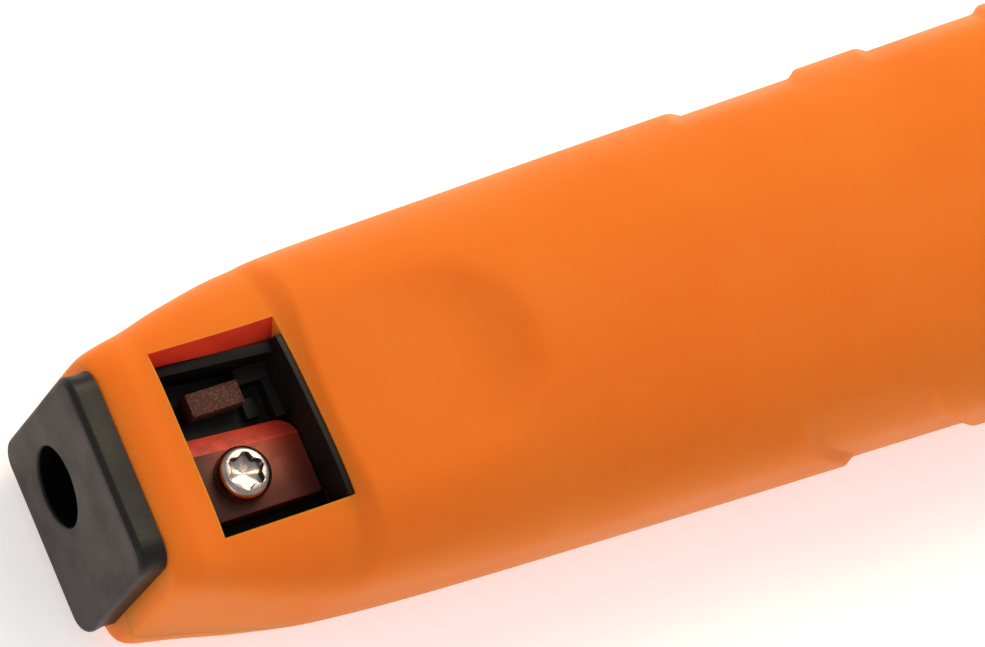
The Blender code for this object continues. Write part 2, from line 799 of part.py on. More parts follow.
def make_board_parts():
    chip = block("controller_chip", (30.0, 37.0), (-3.5, 3.5), (ON_BOARD, ON_BOARD + 1.2))
    bevel(chip, 0.15, 1)
    paint(chip, (0.03, 0.03, 0.03), 0.5)
    buzzer = rod("buzzer", 50.0, 0.0, (ON_BOARD, ON_BOARD + 3.2), 6.0)
    vent = rod("buzzer_vent", 50.0, 0.0, (ON_BOARD + 2.2, ON_BOARD + 5.0), 1.0, CUTTERS, 16)
    cut(buzzer, vent)
    paint(buzzer, BLACK, 0.5)
    capacitor = rod("capacitor", 62.5, 3.0, (ON_BOARD, ON_BOARD + 5.4), 2.0)
    bevel(capacitor, 0.3, 2)
    paint(capacitor, (0.10, 0.12, 0.35), 0.4)
    for number in range(3):
        start = 40.5
        y = -6.0 + number * 2.4
        resistor = block(f"resistor_{number + 1}", (start, start + 2.0), (y, y + 1.2),
                         (ON_BOARD, ON_BOARD + 0.5))
        paint(resistor, BLACK, 0.4)
    led = block("signal_led", (LENS_STATION - 0.8, LENS_STATION + 0.8), (-0.6, 0.6),
                (ON_BOARD, ON_BOARD + 0.8))
    paint(led, (0.9, 0.85, 0.7), 0.3)


def make_signal_lens():
    top = 9.9
    bottom = ON_BOARD + 0.8 + GAP
    reach = top - bottom
    profile = [(0.001, reach), (LENS_RADIUS * 0.6, reach - 0.12),
               (LENS_RADIUS, reach - 0.5), (LENS_RADIUS, 0.0), (0.001, 0.0)]
    lens = turned("signal_lens", profile, 16)
    lens.location = spot(LENS_STATION, 0.0, bottom)
    paint(lens, (0.8, 0.05, 0.03), 0.15)


def make_button(name, station, length, width):
    """A button with its flange and stem, and the switch and plunger under it."""
    outline = rounded_rectangle(length, width, width / 2 - 0.01, 8)
    crown = flat_outline(name + "_button", [outline], BUTTON_TOP - FLANGE_TOP + 0.4,
                         lying(station, 0.0, (BUTTON_TOP + FLANGE_TOP - 0.4) / 2))
    bevel(crown, 0.6, 3, 60.0)
    wide = rounded_rectangle(length + 2 * BUTTON_FLANGE, width + 2 * BUTTON_FLANGE,
                             width / 2 + BUTTON_FLANGE - 0.01, 6)
    flange = flat_outline(name + "_flange", [wide], FLANGE_TOP - FLANGE_BOTTOM,
                          lying(station, 0.0, (FLANGE_TOP + FLANGE_BOTTOM) / 2), CUTTERS)
    cut(crown, flange, "UNION")
    stem = rod(name + "_stem", station, 0.0, (STEM_BOTTOM, FLANGE_TOP - 0.3), STEM_RADIUS,
               CUTTERS, 16)
    cut(crown, stem, "UNION")
    move_origin_of_flat(crown, spot(station, 0.0, FLANGE_BOTTOM))
    paint(crown, BLACK, 0.55)
    half = SWITCH_SIZE / 2
    switch = block(name + "_switch", (station - half, station + half), (-half, half),
                   (ON_BOARD, SWITCH_TOP))
    well = rod(name + "_well", station, 0.0, (ON_BOARD + 0.35, SWITCH_TOP + 1.0), 1.75,
               CUTTERS, 16)
    cut(switch, well)
    paint(switch, STEEL, 0.4, 1.0)
    plunger = rod(name + "_plunger", station, 0.0, (0.9, STEM_BOTTOM - GAP), 1.4, PARTS, 16)
    paint(plunger, BLACK, 0.5)


def move_origin_of_flat(item, point):
    """Put the origin of a placed flat piece at a world point without moving its shape."""
    item.data.transform(item.matrix_world)
    item.matrix_world = Matrix.Identity(4)
    move_origin(item, point)


# ------------------------------------------------------------ cells and contacts
def make_cell(name, y, nub_to_nose):
    profile = [(0.001, CELL_LENGTH), (NUB_RADIUS, CELL_LENGTH),
               (NUB_RADIUS, CELL_LENGTH - NUB_LENGTH),
               (CELL_RADIUS - 0.5, CELL_LENGTH - NUB_LENGTH),
               (CELL_RADIUS, CELL_LENGTH - NUB_LENGTH - 0.4), (CELL_RADIUS, 0.4),
               (CELL_RADIUS - 0.4, 0.0), (0.001, 0.0)]
    cell = turned(name, profile)
    turn = math.pi / 2 if nub_to_nose else -math.pi / 2
    cell.rotation_euler = (0.0, turn, 0.0)
    start = CELL_START + CELL_LENGTH if nub_to_nose else CELL_START
    cell.location = spot(start, y, 0.0)
    paint(cell, (0.12, 0.12, 0.13), 0.35, 0.2)


def make_cells_and_contacts():
    make_cell("cell_1", CELL_Y, True)
    make_cell("cell_2", -CELL_Y, False)
    board = flat_outline("contact_board", [section_outline(102.0, 2.4, 32)], 0.9,
                         crosswise(101.85))
    paint(board, (0.45, 0.35, 0.12), 0.6)
    leaf = strip_outline([(-102.8, -3.0), (-102.8, 2.6), (-105.1, 1.2), (-105.1, -1.2)], 0.35)
    plate = flat_outline("front_plate", [leaf], 5.0, lengthwise(0.0, CELL_Y, 0.0))
    paint(plate, STEEL, 0.3, 1.0)
    cell_end = CELL_START + CELL_LENGTH + GAP
    springs = (("front_spring", -CELL_Y, (102.6, CELL_START - GAP), (3.6, 2.2), 2),
               ("tail_spring_1", CELL_Y, (cell_end, 155.6), (2.2, 3.6), 3),
               ("tail_spring_2", -CELL_Y, (cell_end, 155.6), (2.2, 3.6), 3))
    for name, y, stations, radii, turns in springs:
        spring = coil(name, y, stations, radii, CONTACT_WIRE, turns)
        paint(spring, STEEL, 0.3, 1.0)
    bridge = flat_outline("tail_bridge", [rounded_rectangle(19.0, 8.4, 4.0)], 0.4,
                          crosswise(156.1))
    paint(bridge, STEEL, 0.3, 1.0)


# ------------------------------------------------------------ pocket clip
def make_clip():
    foot_length = CLIP_FOOT[1] - CLIP_FOOT[0]
    middle = (CLIP_FOOT[0] + CLIP_FOOT[1]) / 2
    outlines = [rounded_rectangle(foot_length, CLIP_WIDTH, 1.2, 4)]
    for station in RIVET_STATIONS:
        outlines.append(circle(1.2, 16, (middle - station, 0.0)))
    foot = flat_outline("clip_foot", outlines, CLIP_THICKNESS,
                        lying(middle, 0.0, CLIP_BOTTOM + CLIP_THICKNESS / 2))
    paint(foot, STEEL, 0.25, 1.0)
    level = CLIP_BOTTOM + CLIP_THICKNESS / 2
    path = [(-CLIP_PIVOT, level), (-132.2, level + 0.4), (-130.6, level + 1.6),
            (-128.6, level + 2.7), (-126.0, level + 3.1), (-120.0, level + 2.7),
            (-112.0, level + 1.5), (-109.0, level + 1.15), (-107.4, level + 1.5),
            (-106.0, level + 2.5)]
    arm = flat_outline("pocket_clip", [strip_outline(path, CLIP_THICKNESS)], CLIP_WIDTH,
                       lengthwise(0.0, 0.0, 0.0))
    move_origin_of_flat(arm, spot(CLIP_PIVOT, 0.0, level))
    paint(arm, STEEL, 0.25, 1.0)
    for number, station in enumerate(RIVET_STATIONS):
        seat = CLIP_BOTTOM + CLIP_THICKNESS + GAP
        shaft = 7.35
        reach = seat - shaft
        profile = [(0.001, reach + 0.7), (0.9, reach + 0.6), (1.7, reach + 0.2),
                   (1.8, reach), (0.9, reach), (0.9, 0.0), (0.001, 0.0)]
        rivet = turned(f"clip_rivet_{number + 1}", profile, 16)
        rivet.location = spot(station, 0.0, shaft)
        paint(rivet, STEEL, 0.3, 1.0)


def main():
    clear_scene()
    make_top_shell()
    make_bottom_shell()
    make_nose_pad()
    make_tail_cap()
    make_cap_seal()
    make_housing_screws()
    make_window_frame()
    make_sensor_block()
    make_clamp_block()
    make_clamp_screw()
    make_torch_led()
    make_led_sleeve()
    make_led_legs()
    make_antenna_strip()
    make_circuit_board()
    make_board_parts()
    make_signal_lens()
    make_button("power", POWER_STATION, POWER_LENGTH, POWER_WIDTH)
    make_button("torch", TORCH_STATION, TORCH_LENGTH, TORCH_WIDTH)
    make_cells_and_contacts()
    make_clip()


main()
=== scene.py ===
# %% [markdown]
# # A pocket voltage tester in moulded plastic
# The tester is a slim orange body with a black pad on its nose, a small open pocket behind
# the pad, a thumb scoop and rows of grip notches. Sizes and places come from the packed
# frame. Here each outer piece is made again as a fine mesh, with the finish of the real one.

# %% Load the frame
import math

import bmesh
import bpy
import numpy as np
from mathutils import Matrix, Vector


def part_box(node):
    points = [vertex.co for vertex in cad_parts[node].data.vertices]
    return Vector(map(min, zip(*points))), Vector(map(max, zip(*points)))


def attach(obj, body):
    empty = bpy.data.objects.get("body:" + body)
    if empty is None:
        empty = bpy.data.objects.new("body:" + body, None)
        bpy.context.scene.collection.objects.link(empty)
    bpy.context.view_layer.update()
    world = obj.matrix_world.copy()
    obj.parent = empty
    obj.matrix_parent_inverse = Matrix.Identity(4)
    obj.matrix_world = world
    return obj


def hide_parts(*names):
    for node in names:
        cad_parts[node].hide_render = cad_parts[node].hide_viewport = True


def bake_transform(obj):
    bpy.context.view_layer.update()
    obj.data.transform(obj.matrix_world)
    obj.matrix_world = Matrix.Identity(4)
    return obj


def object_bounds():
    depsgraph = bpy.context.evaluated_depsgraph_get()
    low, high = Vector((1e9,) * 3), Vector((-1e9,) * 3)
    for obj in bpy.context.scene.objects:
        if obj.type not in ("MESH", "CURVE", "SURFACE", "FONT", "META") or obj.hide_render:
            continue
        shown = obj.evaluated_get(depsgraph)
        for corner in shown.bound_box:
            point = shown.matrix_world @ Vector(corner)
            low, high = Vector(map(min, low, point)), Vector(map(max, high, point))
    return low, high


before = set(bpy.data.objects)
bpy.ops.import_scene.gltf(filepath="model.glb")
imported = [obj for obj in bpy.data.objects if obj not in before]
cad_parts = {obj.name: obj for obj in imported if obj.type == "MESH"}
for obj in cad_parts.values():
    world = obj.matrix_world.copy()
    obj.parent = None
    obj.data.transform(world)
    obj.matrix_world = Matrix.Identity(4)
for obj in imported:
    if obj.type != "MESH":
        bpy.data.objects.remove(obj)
cad_low, cad_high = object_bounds()
MM = 0.001

# %% [markdown]
# ## Places
# Along the body, places are counted in millimetres from the nose tip, which is easier to
# think in than X. Heights are counted from the body's own axis. The nose comes from the
# frame, and the axis height is a given number.

# %% Stations and heights
LENGTH = (cad_high.x - cad_low.x) / MM
NOSE_X = cad_high.x / MM
AXIS_Z = 9.2


def spot(station, y, height):
    """The world point at a station, a sideways place and a height above the axis."""
    return Vector(((NOSE_X - station) * MM, y * MM, (AXIS_Z + height) * MM))


def stations_of(node):
    """The first and last station of a node in the frame."""
    low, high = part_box(node)
    return NOSE_X - high.x / MM, NOSE_X - low.x / MM


def heights_of(node):
    """The lowest and highest height of a node in the frame."""
    low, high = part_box(node)
    return low.z / MM - AXIS_Z, high.z / MM - AXIS_Z


def middle_of(node):
    low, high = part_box(node)
    return (low + high) / 2


print(f"length {LENGTH:.1f} mm, nose at x = {NOSE_X:.1f} mm")

# %% [markdown]
# ## The camera
# A long lens keeps the body's sides nearly parallel. The camera stands above the left side
# of the nose and looks down at about sixty degrees, and it is rolled so that the body runs
# up to the right and out of the picture.

# %% Camera
CAMERA_AZIMUTH = math.radians(24.9)     # from the nose's direction towards the left side
CAMERA_ELEVATION = math.radians(61.5)
CAMERA_ROLL = math.radians(44.3)
CAMERA_DISTANCE = 0.385
CAMERA_LENS = 219.0
SENSOR_WIDTH = 36.0
CAMERA_AIM = spot(31.5, -3.0, 0.0)


def make_camera():
    level = math.cos(CAMERA_ELEVATION)
    back = Vector((level * math.cos(CAMERA_AZIMUTH), level * math.sin(CAMERA_AZIMUTH),
                   math.sin(CAMERA_ELEVATION)))
    right = Vector((0, 0, 1)).cross(back).normalized()
    up = back.cross(right)
    rolled_right = right * math.cos(CAMERA_ROLL) + up * math.sin(CAMERA_ROLL)
    rolled_up = up * math.cos(CAMERA_ROLL) - right * math.sin(CAMERA_ROLL)
    turn = Matrix((rolled_right, rolled_up, back)).transposed().to_4x4()
    data = bpy.data.cameras.new("camera")
    data.lens = CAMERA_LENS
    data.sensor_width = SENSOR_WIDTH
    data.clip_start = 0.01
    camera = bpy.data.objects.new("camera", data)
    camera.matrix_world = Matrix.Translation(CAMERA_AIM + back * CAMERA_DISTANCE) @ turn
    bpy.context.scene.collection.objects.link(camera)
    bpy.context.scene.camera = camera
    print("camera at", [round(value, 3) for value in camera.location])


make_camera()

# %% [markdown]
# ## Light and floor
# Small products are usually shot in a white tent: light comes from all round, with one
# large soft lamp stronger than the rest to shape the form. The floor is a sheet of white
# acrylic, lit a little from below, which fades the shadow that the body throws on it.

# %% Colours and nodes
def linear(hex_colour):
    """An sRGB hex colour as linear RGBA."""
    parts = [int(hex_colour[place:place + 2], 16) / 255 for place in (1, 3, 5)]
    return (*[part / 12.92 if part <= 0.04045 else ((part + 0.055) / 1.055) ** 2.4
              for part in parts], 1.0)


def add(tree, kind, settings=None, **inputs):
    """Add one node to a tree. Inputs take a value or another node's output."""
    made = tree.nodes.new(kind)
    for name, value in (settings or {}).items():
        setattr(made, name, value)
    for name, value in inputs.items():
        key = name.replace("_", " ")
        found = made.inputs[int(key[2:])] if key.startswith("in") and key[2:].isdigit() \
            else made.inputs[key]
        if isinstance(value, bpy.types.NodeSocket):
            tree.links.new(value, found)
        else:
            found.default_value = value
    return made


def new_material(name, base, roughness, metallic=0.0):
    """A material with a Principled shader; returns the material, its tree and the shader."""
    made = bpy.data.materials.new(name)
    made.use_nodes = True
    tree = made.node_tree
    shader = tree.nodes["Principled BSDF"]
    shader.inputs["Base Color"].default_value = linear(base)
    shader.inputs["Roughness"].default_value = roughness
    shader.inputs["Metallic"].default_value = metallic
    return made, tree, shader


def pieces_link(item):
    bpy.context.scene.collection.objects.link(item)
    return item


# %% World, lamps and floor
def area_lamp(name, place, target, size, power, colour):
    data = bpy.data.lights.new(name, "AREA")
    data.shape = "RECTANGLE"
    data.size, data.size_y = size
    data.energy = power
    data.color = linear(colour)[:3]
    lamp = pieces_link(bpy.data.objects.new(name, data))
    lamp.location = place
    lamp.rotation_euler = (Vector(target) - Vector(place)).to_track_quat("-Z", "Y").to_euler()
    return lamp


def make_world(strength):
    world = bpy.data.worlds.new("white_tent")
    world.use_nodes = True
    background = world.node_tree.nodes["Background"]
    background.inputs["Color"].default_value = linear("#FFFFFF")
    background.inputs["Strength"].default_value = strength
    bpy.context.scene.world = world


TENT_STRENGTH = 0.52
KEY_POWER = 3.7
FILL_POWER = 0.6
FLOOR_HALF_SIZE = 3.0
FLOOR_DROP = 0.00005        # just below the body's flat underside, so the two don't flicker
FLOOR_GLOW = 0.40


def make_floor():
    builder = bmesh.new()
    bmesh.ops.create_grid(builder, x_segments=8, y_segments=8, size=FLOOR_HALF_SIZE)
    mesh = bpy.data.meshes.new("floor")
    builder.to_mesh(mesh)
    builder.free()
    floor = pieces_link(bpy.data.objects.new("floor", mesh))
    floor.location.z = -FLOOR_DROP
    acrylic, _, shader = new_material("lit_white_acrylic", "#F7F7F7", 0.9)
    shader.inputs["Specular IOR Level"].default_value = 0.1
    shader.inputs["Emission Color"].default_value = linear("#FFFFFF")
    shader.inputs["Emission Strength"].default_value = FLOOR_GLOW
    mesh.materials.append(acrylic)


bpy.context.scene.view_settings.view_transform = "Standard"
make_world(TENT_STRENGTH)
middle = spot(40.0, 0.0, 0.0)
area_lamp("key", (-0.26, -0.36, 0.58), middle, (0.40, 0.40), KEY_POWER, "#FFEFCC")
area_lamp("nose_fill", (0.65, 0.25, 0.35), middle, (0.5, 0.4), FILL_POWER, "#FFFFFF")
make_floor()
print("lamps:", len(bpy.data.lights))

# %% [markdown]
# ## The moulded body
# The body is two mouldings: a deep upper one with the nose, pocket and scoop, and a shallow
# back cover. Their outside is one form: a section that changes from a rounded box at the
# nose to a soft oval at the grip. A box with bevels can't make that, so the form is a
# formula, and both mouldings are meshes through its points.

# %% The body's form
HALF_WIDTH = ((2.0, 8.1), (5.5, 8.95), (9.0, 9.95), (14.0, 11.0), (20.0, 11.5), (30.0, 11.95),
              (50.0, 12.6), (75.0, 13.2), (110.0, 13.35), (147.0, 12.9), (160.0, 12.5))
CROWN = ((2.0, 6.5), (3.9, 6.95), (5.9, 6.4), (14.6, 6.85), (16.2, 8.2), (24.0, 8.9),
         (35.0, 9.35), (60.0, 9.6), (120.0, 9.6), (147.0, 9.4), (160.0, 9.2))
KEEL = ((2.0, 8.6), (9.0, 8.7), (16.0, 9.0), (30.0, 9.5), (50.0, 9.8), (147.0, 9.8),
        (160.0, 9.7))
CROWN_SQUARENESS = ((2.0, 5.6), (14.6, 2.85), (30.0, 2.2), (60.0, 2.25), (76.0, 2.6),
                    (160.0, 2.6))
KEEL_SQUARENESS = ((2.0, 6.5), (16.0, 4.0), (40.0, 3.6), (160.0, 3.4))

FRONT = stations_of("top_shell")[0]
SHELL_END = stations_of("top_shell")[1]
SEAM_HEIGHT = -4.5
SEAM_HALF_GAP = 0.06
FRONT_ROUNDING = 0.9
TAIL_ROUNDING = 4.0
FRONT_DRAW_IN = 0.04        # shares of the section by which it shrinks at its two ends
TAIL_DRAW_IN = 0.3
WALL = 1.8

SCOOP_START = 14.6
SCOOP_CENTRE = 17.0
SCOOP_HEIGHT = 7.6
SCOOP_SLOPE = 0.02
SCOOP_RADIUS = 8.0
SCOOP_RAMP = 0.055
SCOOP_SPREAD = 0.75         # below 1, the scoop is wider than it is long
SCOOP_SOFTNESS = 0.3

NOTCH_FIRST = 50.4
NOTCH_PITCH = 15.0
NOTCH_LENGTH = 9.5
NOTCH_COUNT = 4
NOTCH_DEPTH = 0.45
NOTCH_EDGE = 0.9
NOTCH_INNER = 0.78
NOTCH_OUTER = 0.97
NOTCH_LEAN = 4.6            # how far a notch's ends lean towards the nose at the crown
LEAN_HEIGHT = 5.0           # and the height over which they do most of it


def along(table, station):
    """A smooth, never overshooting curve through a table of (station, value) points."""
    places = [row[0] for row in table]
    values = [row[1] for row in table]
    if station <= places[0]:
        return values[0]
    if station >= places[-1]:
        return values[-1]
    slopes = [(values[i + 1] - values[i]) / (places[i + 1] - places[i])
              for i in range(len(table) - 1)]
    tangents = [slopes[0]]
    for before, after in zip(slopes, slopes[1:]):
        same_way = before * after > 0
        tangents.append(2 * before * after / (before + after) if same_way else 0.0)
    tangents.append(slopes[-1])
    index = max(i for i in range(len(table) - 1) if places[i] <= station)
    span = places[index + 1] - places[index]
    t = (station - places[index]) / span
    return (values[index] * (1 + 2 * t) * (1 - t) ** 2
            + tangents[index] * span * t * (1 - t) ** 2
            + values[index + 1] * t * t * (3 - 2 * t)
            + tangents[index + 1] * span * t * t * (t - 1))


def smooth_step(low, high, value):
    t = np.clip((value - low) / (high - low), 0.0, 1.0)
    return t * t * (3 - 2 * t)


def soft_min(first, second, softness):
    """The smaller of two heights, with the corner between them rounded off."""
    share = np.clip(0.5 + 0.5 * (second - first) / softness, 0.0, 1.0)
    return second + (first - second) * share - softness * share * (1 - share)


def notch_share(station):
    """1 on the floor of a grip notch, 0 between the notches."""
    share = 0.0
    half = NOTCH_EDGE / 2
    for number in range(NOTCH_COUNT):
        start = NOTCH_FIRST + number * NOTCH_PITCH
        end = start + NOTCH_LENGTH
        share = share + smooth_step(start - half, start + half, station)
        share = share - smooth_step(end - half, end + half, station)
    return share


def end_share(station):
    """How full the section is: it draws in a little at the front edge and at the tail."""
    if station < FRONT + FRONT_ROUNDING:
        t = (station - FRONT) / FRONT_ROUNDING
        return 1 - FRONT_DRAW_IN * (1 - math.sqrt(max(0.0, 1 - (1 - t) ** 2)))
    if station > LENGTH - TAIL_ROUNDING:
        t = (station - LENGTH + TAIL_ROUNDING) / TAIL_ROUNDING
        return 1 - TAIL_DRAW_IN * (1 - math.sqrt(max(0.0, 1 - t * t)))
    return 1.0


def scoop_limit(station, y):
    """The thumb scoop's surface: a flat floor that curves up past a rounded end."""
    past_centre = max(station - SCOOP_CENTRE, 0.0)
    outside = np.maximum(np.hypot(past_centre, SCOOP_SPREAD * y) - SCOOP_RADIUS, 0.0)
    floor = SCOOP_HEIGHT + SCOOP_SLOPE * (station - SCOOP_START)
    return floor + SCOOP_RAMP * outside * outside


def section(station, angles, inset=0.0):
    """Sideways places and heights of the outside (or an inset of it) at some angles."""
    across = np.cos(angles)
    up = np.sin(angles)
    upper = up >= 0
    height = np.where(upper, along(CROWN, station), along(KEEL, station)) - inset
    squareness = np.where(upper, along(CROWN_SQUARENESS, station),
                          along(KEEL_SQUARENESS, station))
    reach = (np.abs(across) ** squareness + np.abs(up) ** squareness) ** (-1 / squareness)
    half_width = along(HALF_WIDTH, station) - inset
    y = half_width * reach * across
    fade = smooth_step(NOTCH_INNER, NOTCH_OUTER, np.abs(y) / half_width)
    z = height * reach * up
    leaning = station + NOTCH_LEAN * np.tanh(z / LEAN_HEIGHT)
    y = y - np.sign(y) * NOTCH_DEPTH * notch_share(leaning) * fade
    share = end_share(station)
    y = y * share
    z = z * share
    if station > SCOOP_START:
        z = soft_min(z, scoop_limit(station, y) - inset, SCOOP_SOFTNESS)
    z = np.maximum(z, -AXIS_Z + inset)
    return y, z


def surface_height(station, y):
    """The height of the outside over a sideways place."""
    places, heights = section(station, np.linspace(math.pi, math.pi / 2, 361))
    return float(np.interp(-abs(y), places, heights))


def seam_angle(station, height):
    """The angle, below the horizontal, at which the outside crosses a height."""
    angles = np.linspace(-math.pi / 2, 0.0, 721)
    heights = section(station, angles)[1]
    return float(np.interp(height, heights, angles))


print(f"upper moulding from station {FRONT:.1f} to {SHELL_END:.1f}")

# %% [markdown]
# ## Mesh tools
# Almost every piece here is a row of outlines joined into a skin: a turned screw is a row
# of circles, a button is a row of ovals, the body is a row of soft boxes. So one loft
# function does most of the work, and the outlines carry the shape.

# %% Lofts
def join_rows(builder, rows, around):
    """Quads between neighbouring rows of vertices."""
    for first, second in zip(rows, rows[1:]):
        count = len(first)
        for column in range(count if around else count - 1):
            beside = (column + 1) % count
            builder.faces.new((first[column], first[beside], second[beside], second[column]))


def loft(rows, ring=False):
    """A closed skin through closed outlines; the ends are filled, or joined if it's a ring."""
    builder = bmesh.new()
    grid = [[builder.verts.new(point) for point in row] for row in rows]
    join_rows(builder, grid, around=True)
    if ring:
        join_rows(builder, [grid[-1], grid[0]], around=True)
    else:
        builder.faces.new(grid[0])
        builder.faces.new(grid[-1])
    bmesh.ops.recalc_face_normals(builder, faces=builder.faces)
    return builder


def shell(outer, inner):
    """A wall between two open skins with the same rows, closed along its four edges."""
    builder = bmesh.new()
    skins = [[[builder.verts.new(point) for point in row] for row in rows]
             for rows in (outer, inner)]
    for skin in skins:
        join_rows(builder, skin, around=False)
    for end in (0, -1):
        join_rows(builder, [skins[0][end], skins[1][end]], around=False)
        join_rows(builder, [[row[end] for row in skins[0]], [row[end] for row in skins[1]]],
                  around=False)
    bmesh.ops.recalc_face_normals(builder, faces=builder.faces)
    return builder


def piece(name, builder, sharp=32.0):
    """A named object from a builder, smooth except along edges sharper than an angle."""
    mesh = bpy.data.meshes.new(name)
    builder.to_mesh(mesh)
    builder.free()
    mesh.shade_smooth()
    mesh.set_sharp_from_angle(angle=math.radians(sharp))
    return pieces_link(bpy.data.objects.new(name, mesh))


def settle(item, sharp=32.0):
    """Apply an object's modifiers to its mesh."""
    evaluated = item.evaluated_get(bpy.context.evaluated_depsgraph_get())
    mesh = bpy.data.meshes.new_from_object(evaluated)
    item.modifiers.clear()
    item.data = mesh
    mesh.shade_smooth()
    mesh.set_sharp_from_angle(angle=math.radians(sharp))
    return item


def carve(item, operation, *tools):
    """Cut the tools from a piece, or join them to it, and remove the tools."""
    for tool in tools:
        step = item.modifiers.new(operation, "BOOLEAN")
        step.operation = operation
        step.object = tool
        step.solver = "EXACT"
    settle(item)
    for tool in tools:
        bpy.data.objects.remove(tool, do_unlink=True)
    return item


def round_edges(item, width, segments=3, angle=35.0):
    step = item.modifiers.new("rounded", "BEVEL")
    step.width = width * MM
    step.segments = segments
    step.limit_method = "ANGLE"
    step.angle_limit = math.radians(angle)
    return settle(item)


def rounded_rectangle(width, height, radius, steps=8):
    """A closed outline around the origin, counted from its right side."""
    points = []
    for side, up, start in ((1, 1, 0), (-1, 1, 90), (-1, -1, 180), (1, -1, 270)):
        for step in range(steps + 1):
            angle = math.radians(start + 90.0 * step / steps)
            points.append((side * (width / 2 - radius) + radius * math.cos(angle),
                           up * (height / 2 - radius) + radius * math.sin(angle)))
    return points


def box_between(name, station, y, height):
    """A box between two stations, two sideways places and two heights."""
    rows = [[spot(s, side, h) for s, side in
             ((station[0], y[0]), (station[1], y[0]), (station[1], y[1]), (station[0], y[1]))]
            for h in height]
    return piece(name, loft(rows))


def turned(profile, steps=64, lobe_count=6):
    """Rings about Z from (radius, height, lobe) points; lobe waves the ring's radius."""
    rows = []
    for radius, height, *lobe in profile:
        depth = lobe[0] if lobe else 0.0
        row = []
        for step in range(steps):
            turn = 2 * math.pi * step / steps
            reach = radius * (1 + depth * math.cos(lobe_count * turn))
            row.append((reach * math.cos(turn) * MM, reach * math.sin(turn) * MM, height * MM))
        rows.append(row)
    return loft(rows)


def place(item, station, y, height, turn=None):
    """Move a piece that was made about the origin to its place, inside its mesh."""
    item.data.transform(Matrix.Translation(spot(station, y, height)) @ (turn or Matrix()))
    return item


def finish(item, body, node, finish_material):
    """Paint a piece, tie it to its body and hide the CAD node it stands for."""
    item.data.materials.clear()
    item.data.materials.append(finish_material)
    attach(item, body)
    for name in [node] if isinstance(node, str) else node:
        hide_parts(name)
    print(f"{item.name}: {len(item.data.polygons)} faces on {body}")
    return item

# %% [markdown]
# ## A surface that isn't one flat value
# Real surfaces differ a little from place to place: the colour drifts over centimetres, the
# gloss over millimetres, and there is a fine grain that only shows in reflections. Edges are
# rubbed smooth first. One builder makes that set of nodes, and each material gives it sizes.

# %% Worked surface
def worked_surface(name, base, tint, patch, roughness, grain, depth, metallic=0.0,
                   worn=None, wear=0.5):
    """Patchy colour and gloss, fine grain and worn edges. Sizes are in millimetres."""
    made, tree, shader = new_material(name, base, roughness[0], metallic)
    where = add(tree, "ShaderNodeTexCoord").outputs["Object"]
    patches = add(tree, "ShaderNodeTexNoise", Vector=where, Scale=1 / (patch * MM), Detail=3.0)
    share = add(tree, "ShaderNodeMapRange", Value=patches.outputs[0], From_Min=0.35,
                From_Max=0.65)
    colour = add(tree, "ShaderNodeMix", {"data_type": "RGBA"}, in0=share.outputs[0],
                 in6=linear(base), in7=linear(tint)).outputs[2]
    gloss = add(tree, "ShaderNodeMapRange", Value=patches.outputs[0], From_Min=0.3,
                From_Max=0.7, To_Min=roughness[0], To_Max=roughness[1])
    if worn:
        edges = add(tree, "ShaderNodeNewGeometry").outputs["Pointiness"]
        rubbed = add(tree, "ShaderNodeMapRange", Value=edges, From_Min=0.52, From_Max=0.60,
                     To_Max=wear)
        colour = add(tree, "ShaderNodeMix", {"data_type": "RGBA"}, in0=rubbed.outputs[0],
                     in6=colour, in7=linear(worn)).outputs[2]
    fine = add(tree, "ShaderNodeTexNoise", Vector=where, Scale=1 / (grain * MM), Detail=2.0)
    relief = add(tree, "ShaderNodeBump", Height=fine.outputs[0], Distance=depth * MM)
    tree.links.new(colour, shader.inputs["Base Color"])
    tree.links.new(gloss.outputs[0], shader.inputs["Roughness"])
    tree.links.new(relief.outputs[0], shader.inputs["Normal"])
    return made, tree, shader, where


# %% [markdown]
# ## Orange ABS
# The body is injection moulded ABS. The mould is lightly spark eroded, so the skin is satin:
# broad soft highlights and no mirror image. Pigmented ABS lets red light wander a few
# millimetres inside it before it leaves, which keeps the shaded side a warm red orange. Where
# the wall is cut thin beside the pocket, its faces get a redder copy of the orange: painted
# glow and painted shade, standing in for light that passes through the thin wall.

# %% Body plastic
orange_abs, _, shader, _ = worked_surface(
    "orange_abs_satin", "#EF7C2C", "#ED7728", patch=9.0, roughness=(0.38, 0.46), grain=0.22,
    depth=0.004)
shader.inputs["Specular IOR Level"].default_value = 0.04
shader.inputs["Specular Tint"].default_value = linear("#FFC07A")
shader.inputs["IOR"].default_value = 1.53
shader.inputs["Subsurface Weight"].default_value = 0.6
shader.inputs["Subsurface Radius"].default_value = (1.0, 0.22, 0.08)
shader.inputs["Subsurface Scale"].default_value = 0.004
painted_glow_abs, _, shader, _ = worked_surface(
    "orange_abs_painted_glow", "#F4482E", "#E63E26", patch=2.0, roughness=(0.45, 0.55), grain=0.22,
    depth=0.004)
shader.inputs["Specular IOR Level"].default_value = 0.04
print("made", orange_abs.name, "and", painted_glow_abs.name)
